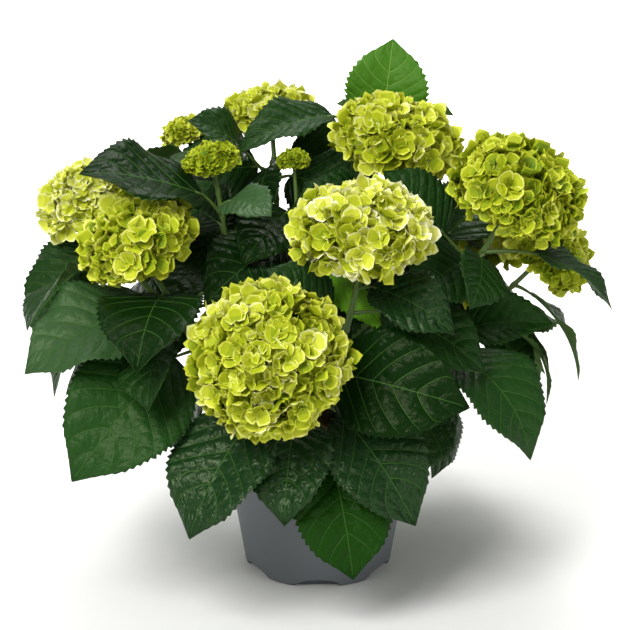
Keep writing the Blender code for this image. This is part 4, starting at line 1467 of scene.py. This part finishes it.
soil = turned(soil_profile(), POT_SIDES)
rng = random.Random(SEED)
for vert in soil.verts:
    if vert.co.z > POT_HEIGHT - MIX_BELOW_RIM - 1 * MM:
        vert.co.z += CLOD_HEIGHT * noise.noise(vert.co / CLOD_SIZE)
for index in range(CRUMBS):
    radius = CRUMB_REACH * math.sqrt(rng.random())
    turn = rng.uniform(0, 2 * math.pi)
    size = rng.uniform(*CRUMB_RADII) * MM
    ball = bmesh.ops.create_icosphere(soil, subdivisions=1, radius=size)["verts"]
    squash = Matrix.Diagonal([rng.uniform(*limits) for limits in CRUMB_SQUASH] + [1])
    spin = Matrix.Rotation(rng.uniform(0, 6), 4, Vector((rng.random(), rng.random(), 1)))
    height = soil_height(radius) + CRUMB_RISE
    where = Matrix.Translation((radius * math.cos(turn), radius * math.sin(turn), height))
    bmesh.ops.transform(soil, matrix=where @ spin @ squash, verts=ball)
    kind = PERLITE if rng.random() < PERLITE_SHARE else rng.choice((PEAT, CRUMB))
    for face in {face for vert in ball for face in vert.link_faces}:
        face.material_index = kind
finish_piece(
    "peat_with_crumbs", mesh_from(soil, "peat_with_crumbs"), [peat, crumb, perlite], "soil",
    "potting_mix",
)

# %% [markdown]
# ## Floor, light and camera
# A wide pale floor and large soft lights keep the shadows gentle. Two lamps behind the
# plant light the floor there, so that it reads as a white backdrop. The camera is a long
# lens that looks slightly down.

# %% Floor
FLOOR_RADIUS = 9
bm = bmesh.new()
bmesh.ops.create_circle(bm, cap_ends=True, segments=96, radius=FLOOR_RADIUS)
floor = new_object("floor", mesh_from(bm, "floor"))
floor.data.materials.append(new_material("pale paper", "#f4f3f1", 0.9)[0])
floor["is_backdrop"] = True
print("floor radius", FLOOR_RADIUS, "m")

# %% Light
SKY_STRENGTH = 0.22
PLANT_MIDDLE = Vector((0, 0, 0.25))
LAMPS = {  # place and size in metres, watts
    "key": ((-1.1, -1.7, 2.2), 1.5, 84),
    "fill": ((1.8, -1.6, 1.0), 1.6, 12),
    "top": ((0.2, 0.9, 2.4), 1.2, 24),
}
BACKDROP_PLACE = (1.6, 4.2, 3.2)  # of the right one, which the left one mirrors
BACKDROP_SIZE = 4.0
BACKDROP_WATTS = 260
BACKDROP_SPREAD = 110  # degrees
scene = bpy.context.scene
scene.world = bpy.data.worlds.new("studio")
scene.world.use_nodes = True
sky = scene.world.node_tree.nodes["Background"]
sky.inputs["Color"].default_value = linear("#ffffff")
sky.inputs["Strength"].default_value = SKY_STRENGTH
scene.view_settings.view_transform = "Standard"


def area_light(name, place, size, watts):
    """A square soft light that points at the plant."""
    data = bpy.data.lights.new(name, "AREA")
    data.size = size
    data.energy = watts
    light = new_object(name, data)
    light.location = place
    aim = PLANT_MIDDLE - Vector(place)
    light.rotation_euler = aim.to_track_quat("-Z", "Y").to_euler()
    return light


for name, setting in LAMPS.items():
    area_light(name, *setting)
across, back, up = BACKDROP_PLACE
for side in (-1, 1):
    place = (across * side, back, up)
    backdrop = area_light(f"backdrop_{side}", place, BACKDROP_SIZE, BACKDROP_WATTS)
    backdrop.rotation_euler = (0, 0, 0)
    backdrop.data.spread = math.radians(BACKDROP_SPREAD)
print("lamps:", len(bpy.data.lights))

# %% Camera
TARGET = Vector((-0.003, 0, 0.26))
ELEVATION = math.radians(18)
DISTANCE = 2.2
SENSOR_WIDTH = 36  # mm
FOCAL_LENGTH = 2244 / 630  # in widths of the frame
lens = bpy.data.cameras.new("camera")
lens.lens = FOCAL_LENGTH * SENSOR_WIDTH
lens.sensor_width = SENSOR_WIDTH
camera = new_object("camera", lens)
away = Vector((0, -math.cos(ELEVATION), math.sin(ELEVATION)))
camera.location = TARGET + away * DISTANCE
camera.rotation_euler = (-away).to_track_quat("-Z", "Y").to_euler()
scene.camera = camera
print("camera at", camera.location)

# %% Finish
visual_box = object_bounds()
sizes = {"cad": cad_box, "visual": visual_box}
{key: [list(map(float, corner)) for corner in box] for key, box in sizes.items()}
print("boxes:", cad_box, visual_box)
